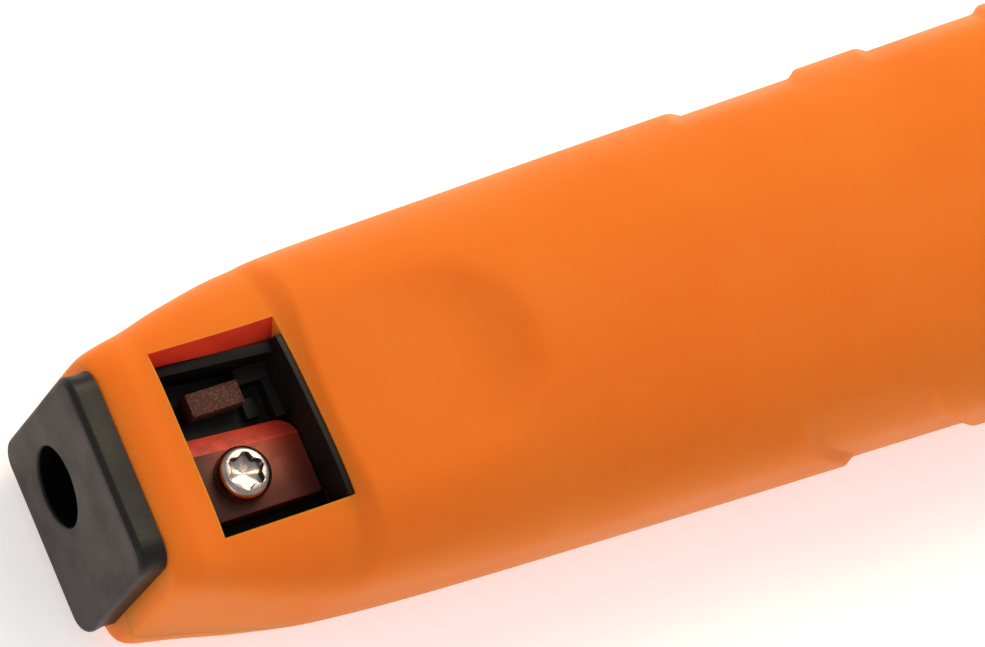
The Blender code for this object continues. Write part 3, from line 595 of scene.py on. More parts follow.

# %% [markdown]
# ## Black rubber and black nylon
# The nose pad is soft moulded rubber, matt and slightly grey on its front. Its sides get a
# darker and shinier copy of the rubber. Its hole is so deep that no light comes back, so the
# bore is painted near black: painted shade. The pocket insert is nylon: darker than the
# rubber and a little glossier.

# %% Black parts
pad_rubber, _, shader, _ = worked_surface(
    "moulded_rubber_matt", "#423734", "#352D2B", patch=3.0, roughness=(0.62, 0.75), grain=0.16,
    depth=0.006, worn="#5A514E", wear=0.3)
shader.inputs["Specular IOR Level"].default_value = 0.3
pad_side_rubber, _, shader, _ = worked_surface(
    "moulded_rubber_darker_side", "#100E0D", "#0C0B0A", patch=3.0, roughness=(0.40, 0.52), grain=0.3,
    depth=0.008, worn="#1E1C1A", wear=0.3)
shader.inputs["Specular IOR Level"].default_value = 0.3
bore_painted_shade, _, shader, _ = worked_surface(
    "rubber_bore_painted_shade", "#060505", "#030303", patch=2.0, roughness=(0.9, 0.95), grain=0.2,
    depth=0.004)
shader.inputs["Specular IOR Level"].default_value = 0.05
insert_nylon, _, shader, _ = worked_surface(
    "moulded_nylon_black", "#0A0808", "#0E0C0B", patch=1.5, roughness=(0.45, 0.6), grain=0.12,
    depth=0.005, worn="#1E1B1A", wear=0.3)
shader.inputs["Specular IOR Level"].default_value = 0.2
seal_rubber = worked_surface(
    "nitrile_rubber_seal", "#1E1D1D", "#2A2928", patch=4.0, roughness=(0.6, 0.75), grain=0.2,
    depth=0.006)[0]
button_rubber = worked_surface(
    "silicone_rubber_charcoal", "#34312F", "#2C2A28", patch=5.0, roughness=(0.55, 0.68),
    grain=0.18, depth=0.006, worn="#575350", wear=0.5)[0]
print("made", pad_rubber.name, "and", insert_nylon.name)

# %% [markdown]
# ## Copper, steel and tin
# The sensing tile is pressed from copper powder, so it is dull and speckled. The clamp is a
# machined copper-tungsten bar, polished on top, with painted shade towards the nose and away
# from its slope. Its sawn, grainy slope is painted bright red: a painted reflection of the
# orange body. Screws are zinc plated steel with painted shade in their recesses, the pocket
# clip is rolled spring steel with a long fine brush line.

# %% Metals
def speckle(made, tree, shader, where, size, low, high, colour):
    """Scatter small flecks of another colour over a finish."""
    flecks = add(tree, "ShaderNodeTexNoise", Vector=where, Scale=1 / (size * MM), Detail=1.0)
    share = add(tree, "ShaderNodeMapRange", Value=flecks.outputs[0], From_Min=low,
                From_Max=high)
    under = shader.inputs["Base Color"].links[0].from_socket
    mixed = add(tree, "ShaderNodeMix", {"data_type": "RGBA"}, in0=share.outputs[0], in6=under,
                in7=linear(colour))
    tree.links.new(mixed.outputs[2], shader.inputs["Base Color"])
    return made


def sintered_finish():
    """Pressed copper powder: almost black, with pale grains and rubbed edges."""
    made, tree, shader, where = worked_surface(
        "sintered_copper_dull", "#1C100E", "#120B0A", patch=0.9, roughness=(0.55, 0.75),
        grain=0.09, depth=0.02, metallic=0.1, worn="#6C463C", wear=0.6)
    shader.inputs["Specular IOR Level"].default_value = 0.15
    return speckle(made, tree, shader, where, size=0.11, low=0.54, high=0.70,
                   colour="#7A5044")


BRIDGE_SHADOW = (11.5, 7.5)          # stations between which the bridge's painted shadow builds up on the bar
SHADE_ACROSS = (0.3, 3.6)        # and sideways places between which painted shade darkens the bar


def clamp_finish():
    """Polished copper-tungsten, darkened by painted shade towards the nose and away from its
    slope.
    """
    made, tree, shader, where = worked_surface(
        "copper_tungsten_polished", "#9C3014", "#8A2A14", patch=1.2, roughness=(0.38, 0.50),
        grain=0.10, depth=0.004, metallic=0.2, worn="#8C4A3C", wear=0.4)
    shader.inputs["Specular IOR Level"].default_value = 0.25
    axis = add(tree, "ShaderNodeSeparateXYZ", Vector=where)
    shadow_share = add(tree, "ShaderNodeMapRange", Value=axis.outputs["X"],
               From_Min=spot(BRIDGE_SHADOW[0], 0, 0).x, From_Max=spot(BRIDGE_SHADOW[1], 0, 0).x, To_Max=0.8)
    clean = shader.inputs["Base Color"].links[0].from_socket
    shadowed = add(tree, "ShaderNodeMix", {"data_type": "RGBA"}, in0=shadow_share.outputs[0], in6=clean,
                in7=linear("#1A100D"))
    shade_share = add(tree, "ShaderNodeMapRange", Value=axis.outputs["Y"],
                  From_Min=SHADE_ACROSS[0] * MM, From_Max=SHADE_ACROSS[1] * MM, To_Max=0.75)
    shaded = add(tree, "ShaderNodeMix", {"data_type": "RGBA"}, in0=shade_share.outputs[0],
                    in6=shadowed.outputs[2], in7=linear("#3A201C"))
    tree.links.new(shaded.outputs[2], shader.inputs["Base Color"])
    return made


sintered_copper = sintered_finish()
clamp_copper = clamp_finish()
slope_painted_reflection = speckle(*worked_surface(
    "copper_tungsten_sawn", "#C82C14", "#A82810", patch=0.8, roughness=(0.5, 0.65), grain=0.12,
    depth=0.02, metallic=0.1, worn="#C8583C", wear=0.4),
    size=0.16, low=0.60, high=0.76, colour="#B8563C")
zinc_steel = worked_surface(
    "zinc_plated_steel", "#B8ACA8", "#958A86", patch=0.8, roughness=(0.16, 0.30), grain=0.15,
    depth=0.004, metallic=1.0, worn="#EADFD6", wear=0.6)[0]
recess_painted_shade = worked_surface(
    "steel_recess_with_oil", "#2E2622", "#1A1513", patch=0.5, roughness=(0.25, 0.4), grain=0.12,
    depth=0.006, metallic=0.8)[0]
contact_steel = worked_surface(
    "nickel_plated_steel", "#C9C5BE", "#B8B3AB", patch=2.0, roughness=(0.2, 0.32), grain=0.2,
    depth=0.002, metallic=1.0)[0]
copper_strip = worked_surface(
    "rolled_copper", "#C9794F", "#B5683F", patch=3.0, roughness=(0.25, 0.4), grain=0.2,
    depth=0.002, metallic=1.0)[0]


def brushed_steel():
    """Spring steel with brush lines along the clip, about 0.08 mm apart."""
    made, tree, shader, where = worked_surface(
        "brushed_spring_steel", "#B9B6B1", "#A8A5A0", patch=6.0, roughness=(0.26, 0.36),
        grain=0.3, depth=0.001, metallic=1.0, worn="#DEDBD6", wear=0.6)
    stretch = add(tree, "ShaderNodeMapping", Vector=where, Scale=(0.02, 1.0, 1.0))
    lines = add(tree, "ShaderNodeTexNoise", Vector=stretch.outputs[0], Scale=1 / (0.08 * MM),
                Detail=2.0)
    relief = add(tree, "ShaderNodeBump", Height=lines.outputs[0], Distance=0.003 * MM)
    tree.links.new(relief.outputs[0], shader.inputs["Normal"])
    return made


clip_steel = brushed_steel()
print("made", clip_steel.name)

# %% [markdown]
# ## Clear, printed and coated parts
# The rest is small: an epoxy LED, a red polycarbonate lens, glass-fibre boards with a
# solder mask, shrink-sleeved cells and a black moulded chip.

# %% Inner materials
led_epoxy, _, shader, _ = worked_surface(
    "clear_epoxy", "#EEF2F4", "#E4EAEE", patch=2.0, roughness=(0.04, 0.1), grain=0.5,
    depth=0.001)
shader.inputs["Transmission Weight"].default_value = 0.85
shader.inputs["IOR"].default_value = 1.51
lens_red, _, shader, _ = worked_surface(
    "polycarbonate_red", "#C9150F", "#B3120D", patch=2.0, roughness=(0.08, 0.16), grain=0.4,
    depth=0.001)
shader.inputs["Transmission Weight"].default_value = 0.45
shader.inputs["IOR"].default_value = 1.58
board_green = worked_surface(
    "glass_fibre_board_green", "#14562C", "#0F4A25", patch=4.0, roughness=(0.35, 0.5),
    grain=0.4, depth=0.004)[0]
board_tan = worked_surface(
    "glass_fibre_board_bare", "#A68B4A", "#967C40", patch=3.0, roughness=(0.5, 0.65),
    grain=0.4, depth=0.006)[0]
capacitor_sleeve = worked_surface(
    "shrink_sleeve_blue", "#23306E", "#1D285C", patch=3.0, roughness=(0.3, 0.4), grain=0.5,
    depth=0.003)[0]
chip_epoxy = worked_surface(
    "moulding_compound_black", "#1D1D1F", "#161617", patch=2.0, roughness=(0.5, 0.65),
    grain=0.15, depth=0.006)[0]
led_ceramic = worked_surface(
    "led_package_cream", "#E9E1C8", "#DCD2B4", patch=1.0, roughness=(0.35, 0.5), grain=0.2,
    depth=0.002)[0]


BAND_STATION = 140.4        # where the copper-coloured band of the sleeve begins


def cell_sleeve():
    """A printed shrink sleeve: graphite grey with a copper-coloured band at one end."""
    made, tree, shader, where = worked_surface(
        "printed_shrink_sleeve", "#2B2D31", "#25272A", patch=8.0, roughness=(0.28, 0.36),
        grain=0.6, depth=0.003)
    axis = add(tree, "ShaderNodeSeparateXYZ", Vector=where)
    band = add(tree, "ShaderNodeMapRange", Value=axis.outputs["X"],
               From_Min=spot(BAND_STATION + 0.1, 0, 0).x,
               From_Max=spot(BAND_STATION - 0.1, 0, 0).x)
    under = shader.inputs["Base Color"].links[0].from_socket
    mixed = add(tree, "ShaderNodeMix", {"data_type": "RGBA"}, in0=band.outputs[0],
                in6=linear("#B4713C"), in7=under)
    tree.links.new(mixed.outputs[2], shader.inputs["Base Color"])
    return made


cell_wrap = cell_sleeve()
print("materials:", len(bpy.data.materials))

# %% [markdown]
# ## The upper moulding
# The outside comes from the section formula, and the inside is the same formula a wall's
# thickness further in. Stations stand close together where the form changes fast: at the
# rounded front edge, over the bridge and the crease, and at the step of each grip notch.

# %% Upper moulding
UPPER_COLUMNS = 116
LOWER_COLUMNS = 72


def body_stations():
    rounding = [FRONT + FRONT_ROUNDING * (1 - math.cos(math.pi / 2 * step / 6))
                for step in range(6)]
    nose = list(np.arange(FRONT + FRONT_ROUNDING, 16.5, 0.2))
    scoop = list(np.arange(16.5, 32.0, 0.45))
    grip = list(np.arange(45.5, 110.5, 0.25))
    return (rounding + nose + scoop + [32.0, 34.5, 37.5, 40.5, 43.5] + grip
            + list(np.linspace(112.0, SHELL_END, 12)))


def body_rows(angles_at, inset=0.0):
    rows = []
    for station in body_stations():
        y, z = section(station, angles_at(station), inset)
        rows.append([spot(station, *point) for point in zip(y, z)])
    return rows


def upper_angles(station):
    start = seam_angle(station, SEAM_HEIGHT + SEAM_HALF_GAP)
    return np.linspace(start, math.pi - start, UPPER_COLUMNS)


def lower_angles(station):
    start = seam_angle(station, SEAM_HEIGHT - SEAM_HALF_GAP)
    return np.linspace(start, -math.pi - start, LOWER_COLUMNS)


BODY_INSIDE = 2.0           # heights that a cutter from above runs between
BODY_ABOVE = 11.0
WINDOW_START = 5.9
WINDOW_END = 14.6
TAIL_EDGE_SHIFT = 0.4       # the opening's tail edge leans back towards its right end
WINDOW_HALF_WIDTH = 6.1
WINDOW_LEFT = (-6.45, -6.3)  # the opening's left edge at the nose end and at the tail end
SKIRT_START_Y = -6.0       # the lower edge of the sloped wall, at the nose end
SKIRT_END_Y = -5.15         # and at the tail end
SKIRT_HEIGHTS = (4.9, 4.6)  # how high that edge stands at those two ends
ROOM = ((14.2, 15.7), (-5.3, 6.05), (BODY_INSIDE, 5.6))
THIN_WALL_Y = (-6.5, -5.0)  # the sloped wall lies between these sideways places


def prism(name, outline, heights):
    """An upright prism over a plan outline of (station, y) points."""
    rows = [[spot(s, y, h) for s, y in outline] for h in heights]
    return piece(name, loft(rows))


def window_cutters():
    """The opening, its sloped left wall, and room under the lip for the insert."""
    opening = prism("opening", [(WINDOW_START, SKIRT_START_Y), (WINDOW_END, SKIRT_END_Y),
                                (WINDOW_END + TAIL_EDGE_SHIFT, WINDOW_HALF_WIDTH),
                                (WINDOW_START, WINDOW_HALF_WIDTH)],
                    (BODY_INSIDE, BODY_ABOVE))
    room = box_between("room", *ROOM)
    slope = []
    for station, left, y, height in zip((WINDOW_START, WINDOW_END), WINDOW_LEFT,
                                        (SKIRT_START_Y, SKIRT_END_Y), SKIRT_HEIGHTS):
        edge = surface_height(station, left)
        slope.append([spot(station, left, edge), spot(station, y, height),
                      spot(station, 0.0, height), spot(station, 0.0, BODY_ABOVE),
                      spot(station, left, BODY_ABOVE)])
    return opening, room, piece("slope", loft(slope))


def stadium(length, width, inset=0.0, steps=16):
    """A closed outline with two straight sides and two round ends, in (along, across)."""
    radius = width / 2 - inset
    reach = length / 2 - width / 2
    points = []
    for side, start in ((1, -90), (-1, 90)):
        for step in range(steps + 1):
            angle = math.radians(start + 180.0 * step / steps)
            points.append((side * reach + radius * math.cos(angle), radius * math.sin(angle)))
    return points


BUTTONS = {"power": (80.0, 12.4, 8.0), "torch": (95.5, 8.0, 6.4)}   # station, length, width
BUTTON_GAP = 0.25
BUTTON_CUT = (4.0, 14.0)
LENS_STATION = 89.0
LENS_BORE = 1.3
RIVET_STATIONS = (137.0, 142.0)


def upright_rod(name, station, y, heights, radius):
    rod = piece(name, turned([(radius, heights[0]), (radius, heights[1])], 48))
    return place(rod, station, y, 0.0)


def make_upper_moulding():
    item = piece("upper_moulding", shell(body_rows(upper_angles), body_rows(upper_angles, WALL)))
    tools = list(window_cutters())
    for name, (station, length, width) in BUTTONS.items():
        wider = stadium(length + 2 * BUTTON_GAP, width + 2 * BUTTON_GAP)
        outline = [(station + a, b) for a, b in wider]
        tools.append(prism(name + "_opening", outline, BUTTON_CUT))
    tools.append(upright_rod("lens_opening", LENS_STATION, 0.0, BUTTON_CUT, LENS_BORE))
    carve(item, "DIFFERENCE", *tools)
    finish(item, "housing", "top_shell", orange_abs)
    item.data.materials.append(painted_glow_abs)
    # the sloped wall's faces towards the pocket take the redder painted glow and shade
    for face in item.data.polygons:
        station = NOSE_X - face.center.x / MM
        beside = THIN_WALL_Y[0] < face.center.y / MM < THIN_WALL_Y[1]
        if WINDOW_START < station < WINDOW_END and beside and face.normal.y > 0.4:
            face.material_index = 1
    return item


make_upper_moulding()

# %% [markdown]
# ## The back cover
# The back cover closes the body from below. Four screws hold it, each sunk in a round
# counterbore, and its flat underside is what the tester rests on.

# %% Back cover
SCREWS = [(station, side * 7.0) for station in (21.0, 89.0) for side in (-1, 1)]
BOSS_RADIUS = 2.35
SINK_RADIUS = 2.1
SCREW_SEAT = 7.3            # how far below the axis the heads sit


def make_back_cover():
    item = piece("back_cover", shell(body_rows(lower_angles), body_rows(lower_angles, WALL)))
    bosses = [upright_rod(f"boss_{number}", station, y, (-8.0, -2.4), BOSS_RADIUS)
              for number, (station, y) in enumerate(SCREWS)]
    carve(item, "UNION", *bosses)
    sinks = [upright_rod(f"sink_{number}", station, y, (-11.0, -7.0), SINK_RADIUS)
             for number, (station, y) in enumerate(SCREWS)]
    carve(item, "DIFFERENCE", *sinks)
    return finish(item, "housing", "bottom_shell", orange_abs)


make_back_cover()

# %% [markdown]
# ## The nose pad
# The pad is a rounded slab of rubber with one round hole off its middle. Its skin is a ring:
# it runs up the bore, over the front face, round the rubbed edge and back behind. Each
# outline is found by looking out from the hole until the slab's edge is met.

# %% Nose pad
PAD_MIDDLE = (-0.2, -0.64)
PAD_HALF = (6.73, 7.08)
PAD_CORNER = 1.55
PAD_EDGE = 0.55
PAD_BACK = 1.95
HOLE_Y = -1.9
HOLE_HEIGHT = -1.5
HOLE_RADIUS = 2.68
HOLE_ROUNDING = 0.2
HOLE_DEPTH = 5.0
PAD_RAYS = 192


def outside_pad(y, z):
    """How far a point is outside the slab's rounded outline (negative inside)."""
    across = abs(y - PAD_MIDDLE[0]) - (PAD_HALF[0] - PAD_CORNER)
    up = abs(z - PAD_MIDDLE[1]) - (PAD_HALF[1] - PAD_CORNER)
    corner = math.hypot(max(across, 0.0), max(up, 0.0))
    return corner + min(max(across, up), 0.0) - PAD_CORNER


def pad_reach(turn, inset):
    near, far = 0.0, 16.0
    for _ in range(30):
        half = (near + far) / 2
        there = outside_pad(HOLE_Y + half * math.cos(turn), HOLE_HEIGHT + half * math.sin(turn))
        near, far = (half, far) if there < -inset else (near, half)
    return near


def make_nose_pad():
    turns = [2 * math.pi * step / PAD_RAYS for step in range(PAD_RAYS)]
    edges = {}
    rows = []
    profile = [("hole", 0.0, HOLE_DEPTH), ("hole", 0.0, HOLE_DEPTH / 2), ("hole", 0.0, 0.25)]
    profile += [("hole", HOLE_ROUNDING * (1 - math.cos(angle)),
                 HOLE_ROUNDING * (1 - math.sin(angle)))
                for angle in np.linspace(math.pi / 8, math.pi / 2, 4)]
    profile += [("face", 0.35, 0.0), ("face", 0.7, 0.0)]
    profile += [("edge", PAD_EDGE * (1 - math.sin(angle)), PAD_EDGE * (1 - math.cos(angle)))
                for angle in np.linspace(0.0, math.pi / 2, 9)]
    profile += [("edge", 0.1, 1.15), ("edge", 0.06, PAD_BACK), ("edge", 0.6, PAD_BACK),
                ("hole", 0.9, PAD_BACK), ("hole", 0.9, HOLE_DEPTH)]
    for kind, amount, station in profile:
        inset = amount if kind == "edge" else PAD_EDGE
        if inset not in edges:
            edges[inset] = [pad_reach(turn, inset) for turn in turns]
        row = []
        for turn, edge in zip(turns, edges[inset]):
            reach = edge
            if kind == "hole":
                reach = HOLE_RADIUS + amount
            elif kind == "face":
                rim = HOLE_RADIUS + HOLE_ROUNDING
                reach = rim + (edge - rim) * amount
            row.append(spot(station, HOLE_Y + reach * math.cos(turn),
                            HOLE_HEIGHT + reach * math.sin(turn)))
        rows.append(row)
    item = finish(piece("nose_pad_slab", loft(rows, ring=True)), "housing", "nose_pad",
                  pad_rubber)
    item.data.materials.append(bore_painted_shade)
    item.data.materials.append(pad_side_rubber)
    bore = spot(0.0, HOLE_Y, HOLE_HEIGHT)
    for face in item.data.polygons:
        away = Vector((0.0, face.center.y - bore.y, face.center.z - bore.z)).length / MM
        inside = face.center.x < bore.x - HOLE_ROUNDING * MM
        # the bore behind its rounded rim takes the painted shade
        if away < HOLE_RADIUS + 0.02 and inside:
            face.material_index = 1
        # faces that don't face the nose take the darker, shinier copy of the rubber
        elif face.normal.x < 0.8:
            face.material_index = 2
    return item


make_nose_pad()

# %% [markdown]
# ## The pocket
# Behind the pad the body is open, and a black nylon insert lines the opening. Its tail wall
# stands up to just under the body's skin, its left rim climbs towards the tail, and its
# floor has ledges that hold the copper tile. Moulded trays like this are boxes joined and
# cut, with every edge rounded a little.

# %% Pocket insert
FLOOR = 1.8
FOOT = 1.5                  # the walls start inside the floor, so that they join it
TRAY = ((5.3, 15.3), (-6.5, 6.5), (1.1, 3.4))
HOLLOW = ((6.2, 14.47), (-5.3, 5.6), (FLOOR, 6.0))
LEDGES = {
    "ledge": ((12.0, 14.6), (-4.6, -3.5), (FOOT, 3.1)),
    "hook": ((13.7, 14.6), (-3.6, -0.9), (FOOT, 2.9)),
    "seat": ((12.0, 12.9), (-2.7, -1.4), (FOOT, 2.5)),
}
LEFT_RIM = ((6.0, -5.95, -5.3, 4.3), (14.9, -5.1, -4.4, 5.2))  # station, outside, inside, top
TAIL_WALL_Y = (-5.1, 6.0)
TAIL_WALL_THICKNESS = 0.4
WALL_BELOW_SKIN = 0.12
WALL_GAP = 0.03


def make_tail_wall():
    """A wall along the opening's tail edge, whose top stays just under the body's surface."""
    rows = []
    for y in np.linspace(*TAIL_WALL_Y, 12):
        share = (y - SKIRT_END_Y) / (WINDOW_HALF_WIDTH - SKIRT_END_Y)
        back = WINDOW_END + TAIL_EDGE_SHIFT * share - WALL_GAP
        front = back - TAIL_WALL_THICKNESS
        top = surface_height(back, y) - WALL_BELOW_SKIN
        rows.append([spot(front, y, FOOT), spot(back, y, FOOT), spot(back, y, top),
                     spot(front, y, top)])
    return piece("tail_wall", loft(rows))


def make_pocket_insert():
    tray = box_between("pocket_insert", *TRAY)
    carve(tray, "DIFFERENCE", box_between("hollow", *HOLLOW))
    rim = [[spot(station, outside, FOOT), spot(station, inside, FOOT),
            spot(station, inside, top), spot(station, outside, top)]
           for station, outside, inside, top in LEFT_RIM]
    ledges = [box_between(name, *sides) for name, sides in LEDGES.items()]
    carve(tray, "UNION", make_tail_wall(), piece("left_rim", loft(rim)), *ledges)
    round_edges(tray, 0.09, 3)
    return finish(tray, "housing", "window_frame", insert_nylon)


make_pocket_insert()

# %% [markdown]
# ## Copper tile, clamp bar and screw
# The tile has sharp sawn edges, rubbed a little paler than its faces. The clamp bar slopes
# on its left side and its far corner is rounded. The screw is a pan head with a six-lobe
# drive: the recess is part of the same turned skin, because its rings can wave in and out
# six times.

# %% Tile and clamp bar
TILE = ((8.2, 11.85), (-3.85, -2.3), (2.1, 3.6))
BAR_START = 6.9
BAR_END = 14.35
BAR_LEFT = -1.2
BAR_RIGHT = 4.6
BAR_HEIGHTS = (2.1, 3.6)
BAR_CORNER = (13.25, 0.35)  # the centre of the rounded corner
BAR_CORNER_RADIUS = 1.1
SLOPE_TOP = ((5.0, -0.1), (16.0, 0.7))      # two points of the slope's upper edge in plan
SLOPE_RUN = 2.2             # how far the slope falls sideways


def make_sensor_tile():
    tile = box_between("sensor_tile", *TILE)
    round_edges(tile, 0.07, 2)
    return finish(tile, "housing", "sensor_block", sintered_copper)


def make_clamp_bar():
    corner = [(BAR_CORNER[0] + BAR_CORNER_RADIUS * math.sin(a),
               BAR_CORNER[1] - BAR_CORNER_RADIUS * math.cos(a))
              for a in np.linspace(0.0, math.pi / 2, 9)]
    outline = [(BAR_START, BAR_RIGHT), (BAR_START, BAR_LEFT)] + corner + [(BAR_END, BAR_RIGHT)]
    bar = prism("clamp_bar", outline, BAR_HEIGHTS)
    slope = [[spot(station, edge - SLOPE_RUN, 2.45), spot(station, edge + 0.05, 3.61),
              spot(station, edge + 0.05, 6.0), spot(station, edge - SLOPE_RUN, 6.0)]
             for station, edge in SLOPE_TOP]
    carve(bar, "DIFFERENCE", piece("slope", loft(slope)))
    round_edges(bar, 0.08, 3)
    finish(bar, "housing", "clamp_block", clamp_copper)
    bar.data.materials.append(slope_painted_reflection)
    # faces on the slope, turned towards the orange wall, take the painted red reflection
    for face in bar.data.polygons:
        if face.normal.y < -0.25 and face.normal.z > 0.3:
            face.material_index = 1
    return bar


make_sensor_tile()
make_clamp_bar()


# %% Six-lobe pan head screws
HEAD_RADIUS = 1.8
CLAMP_SCREW = (9.55, 2.2)
CLAMP_SEAT = 3.63
CLAMP_HEAD = 1.25
COVER_HEAD = 1.2
RECESS_SHARE = 0.62         # the recess's share of the head's radius
RECESS_REACH = 1.28


def screw_profile(head_radius, head_height, shaft_radius, shaft_length):
    """A pan head with a six-lobe recess, from the recess floor out and down to the tip."""
    top = head_height
    bore = head_radius * RECESS_SHARE
    rounding = [(head_radius - 0.45 * head_height * (1 - math.sin(a)),
                 top - 0.5 * head_height * (1 - math.cos(a)))
                for a in np.linspace(0.0, math.pi / 2, 8)]
    profile = [(0.02, top * 0.42, 0.0), (bore * 0.55, top * 0.42, 0.1), (bore, top * 0.48, 0.17),
               (bore, top * 0.9, 0.17), (bore * 1.04, top, 0.12)]
    profile += rounding
    profile += [(head_radius, 0.1), (head_radius - 0.1, 0.0), (shaft_radius, 0.0),
                (shaft_radius, 0.3 - shaft_length), (shaft_radius * 0.6, -shaft_length),
                (0.02, -shaft_length)]
    return profile


def darken_recess(item, centre, up, seat, head_height):
    """Give the faces inside a driver recess a darker steel: painted shade in the recess."""
    item.data.materials.append(recess_painted_shade)
    for face in item.data.polygons:
        away = face.center - centre
        depth = seat + head_height - up * away.z / MM
        wall = abs(face.normal.z) < 0.7
        near = math.hypot(away.x, away.y) / MM < RECESS_REACH
        if wall and near and 0.1 < depth < head_height:
            face.material_index = 1


def make_clamp_screw():
    profile = screw_profile(HEAD_RADIUS, CLAMP_HEAD, 0.75, 2.6)
    item = piece("clamp_screw_pan_head", turned(profile, 96), 28.0)
    place(item, *CLAMP_SCREW, CLAMP_SEAT, Matrix.Rotation(0.2, 4, "Z"))
    finish(item, "housing", "clamp_screw", zinc_steel)
    darken_recess(item, spot(*CLAMP_SCREW, 0.0), 1, CLAMP_SEAT, CLAMP_HEAD)
    return item


def make_cover_screws():
    over = Matrix.Rotation(math.pi, 4, "X")
    for number, (station, y) in enumerate(SCREWS):
        top = heights_of(f"housing_screw_{number + 1}")[1]
        profile = screw_profile(HEAD_RADIUS, COVER_HEAD, 0.95, top + SCREW_SEAT)
        item = piece(f"cover_screw_{number + 1}", turned(profile, 72), 28.0)
        place(item, station, y, -SCREW_SEAT, over @ Matrix.Rotation(0.5 * number, 4, "Z"))
        finish(item, "housing", f"housing_screw_{number + 1}", zinc_steel)
        darken_recess(item, spot(station, y, 0.0), -1, SCREW_SEAT, COVER_HEAD)


make_clamp_screw()
make_cover_screws()

# %% [markdown]
# ## Tail cap and seal
# The cap pulls off to change the cells. It is the same form as the body, closed by a soft
# round end, with three shallow grooves for the fingers. A rubber ring seals the joint.

# %% Tail cap
CAP_START = 148.2
CAP_WALL = 1.6
CAP_TURNS = 144
GROOVES = (151.2, 153.2, 155.2)
GROOVE_DEPTH = 0.28
GROOVE_HALF = 0.55


def cap_outline(station, inset):
    turns = np.linspace(0.0, 2 * math.pi, CAP_TURNS, endpoint=False)
    for groove in GROOVES:
        away = abs(station - groove) / GROOVE_HALF
        if away < 1.0 and inset == 0.0:
            inset = GROOVE_DEPTH * (0.5 + 0.5 * math.cos(math.pi * away))
    y, z = section(station, turns, inset)
    return y, z


def cap_row(station, inset=0.0, share=1.0, at=None):
    y, z = cap_outline(station, inset)
    return [spot(station if at is None else at, a * share, b * share) for a, b in zip(y, z)]


def make_tail_cap():
    stations = [CAP_START, CAP_START + 0.15] + list(np.arange(148.8, 156.0, 0.11))
    stations += [LENGTH - TAIL_ROUNDING * (1 - math.sin(angle))
                 for angle in np.linspace(0.0, math.pi / 2, 22)]
    rows = [cap_row(LENGTH, share=share) for share in (0.02, 0.3, 0.6, 0.9)]
    rows += [cap_row(station, 0.12 if station == CAP_START else 0.0)
             for station in reversed(stations)]
    rows += [cap_row(station, CAP_WALL) for station in (CAP_START, 152.0, 156.0)]
    rows += [cap_row(156.0, CAP_WALL, share, LENGTH - CAP_WALL) for share in (0.9, 0.5, 0.02)]
    item = piece("tail_cap_moulding", loft(rows))
    tongues = []
    for name, side in (("upper", 1), ("lower", -1)):
        low, high = sorted((side * 5.9, side * 6.95))
        tongues.append(box_between(name + "_tongue", (142.5, 150.0), (-4.5, 4.5), (low, high)))
        low, high = sorted((side * 5.9, side * 8.3))
        tongues.append(box_between(name + "_root", (149.0, 151.2), (-4.0, 4.0), (low, high)))
    carve(item, "UNION", *tongues)
    return finish(item, "tail", "tail_cap", orange_abs)


def make_cap_seal():
    turns = np.linspace(0.0, 2 * math.pi, 120, endpoint=False)
    first, last = stations_of("cap_seal")
    middle = (first + last) / 2
    rows = []
    for angle in np.linspace(0.0, 2 * math.pi, 10, endpoint=False):
        station = middle + (last - first) / 2 * math.sin(angle)
        y, z = section(SHELL_END, turns, 0.85 - 0.6 * math.cos(angle))
        rows.append([spot(station, *point) for point in zip(y, z)])
    return finish(piece("cap_seal_ring", loft(rows, ring=True)), "tail", "cap_seal", seal_rubber)


make_tail_cap()
make_cap_seal()

# %% [markdown]
# ## Buttons, lens and clip
# Two rubber buttons stand just proud of the body: a long one with grip bars, and a short
# one with a single round dot. The clip is one strip of spring steel. It is riveted to the
# body, and its strip is shaped with a bend where it leaves its foot.

# %% Buttons
BUTTON_TOP = 10.7
BUTTON_EDGE = 0.7
FLANGE_REACH = 1.3          # how far the flange under the body's wall reaches past the key
FLANGE_HEIGHTS = (6.0, 7.0)


def make_button(name, marks):
    station, length, width = BUTTONS[name]
    profile = [(0.0, 6.1), (0.0, BUTTON_TOP - BUTTON_EDGE)]
    profile += [(BUTTON_EDGE * (1 - math.cos(a)), BUTTON_TOP - BUTTON_EDGE * (1 - math.sin(a)))
                for a in np.linspace(math.pi / 14, math.pi / 2, 7)]
    profile += [(width * 0.3, BUTTON_TOP - 0.12), (width * 0.48, BUTTON_TOP - 0.2)]
    rows = [[spot(station + a, b, height) for a, b in stadium(length, width, inset)]
            for inset, height in profile]
    item = piece(name + "_key", loft(rows))
    wider = stadium(length + 2 * FLANGE_REACH, width + 2 * FLANGE_REACH)
    flange = [[spot(station + a, b, height) for a, b in wider] for height in FLANGE_HEIGHTS]
    stem = upright_rod(name + "_stem", station, 0.0, (3.5, 6.5), 1.5)
    carve(item, "UNION", piece(name + "_flange", loft(flange)), stem, *marks)
    return finish(item, name + "_key", name + "_button", button_rubber)


def grip_bars():
    for number, offset in enumerate((-2.4, 0.0, 2.4)):
        centre = BUTTONS["power"][0] + offset
        rows = []
        for inset, height in ((0.0, 9.8), (0.0, 10.62), (0.12, 10.69)):
            bar = stadium(4.2 - 2 * inset, 0.9 - 2 * inset)
            rows.append([spot(centre + a, b, height) for b, a in bar])
        yield piece(f"grip_bar_{number + 1}", loft(rows))


def dot():
    made = piece("dot", turned([(0.9, -0.7), (0.9, 0.1), (0.75, 0.18), (0.02, 0.2)], 48))
    yield place(made, BUTTONS["torch"][0], 0.0, 10.48)


make_button("power", grip_bars())
make_button("torch", dot())


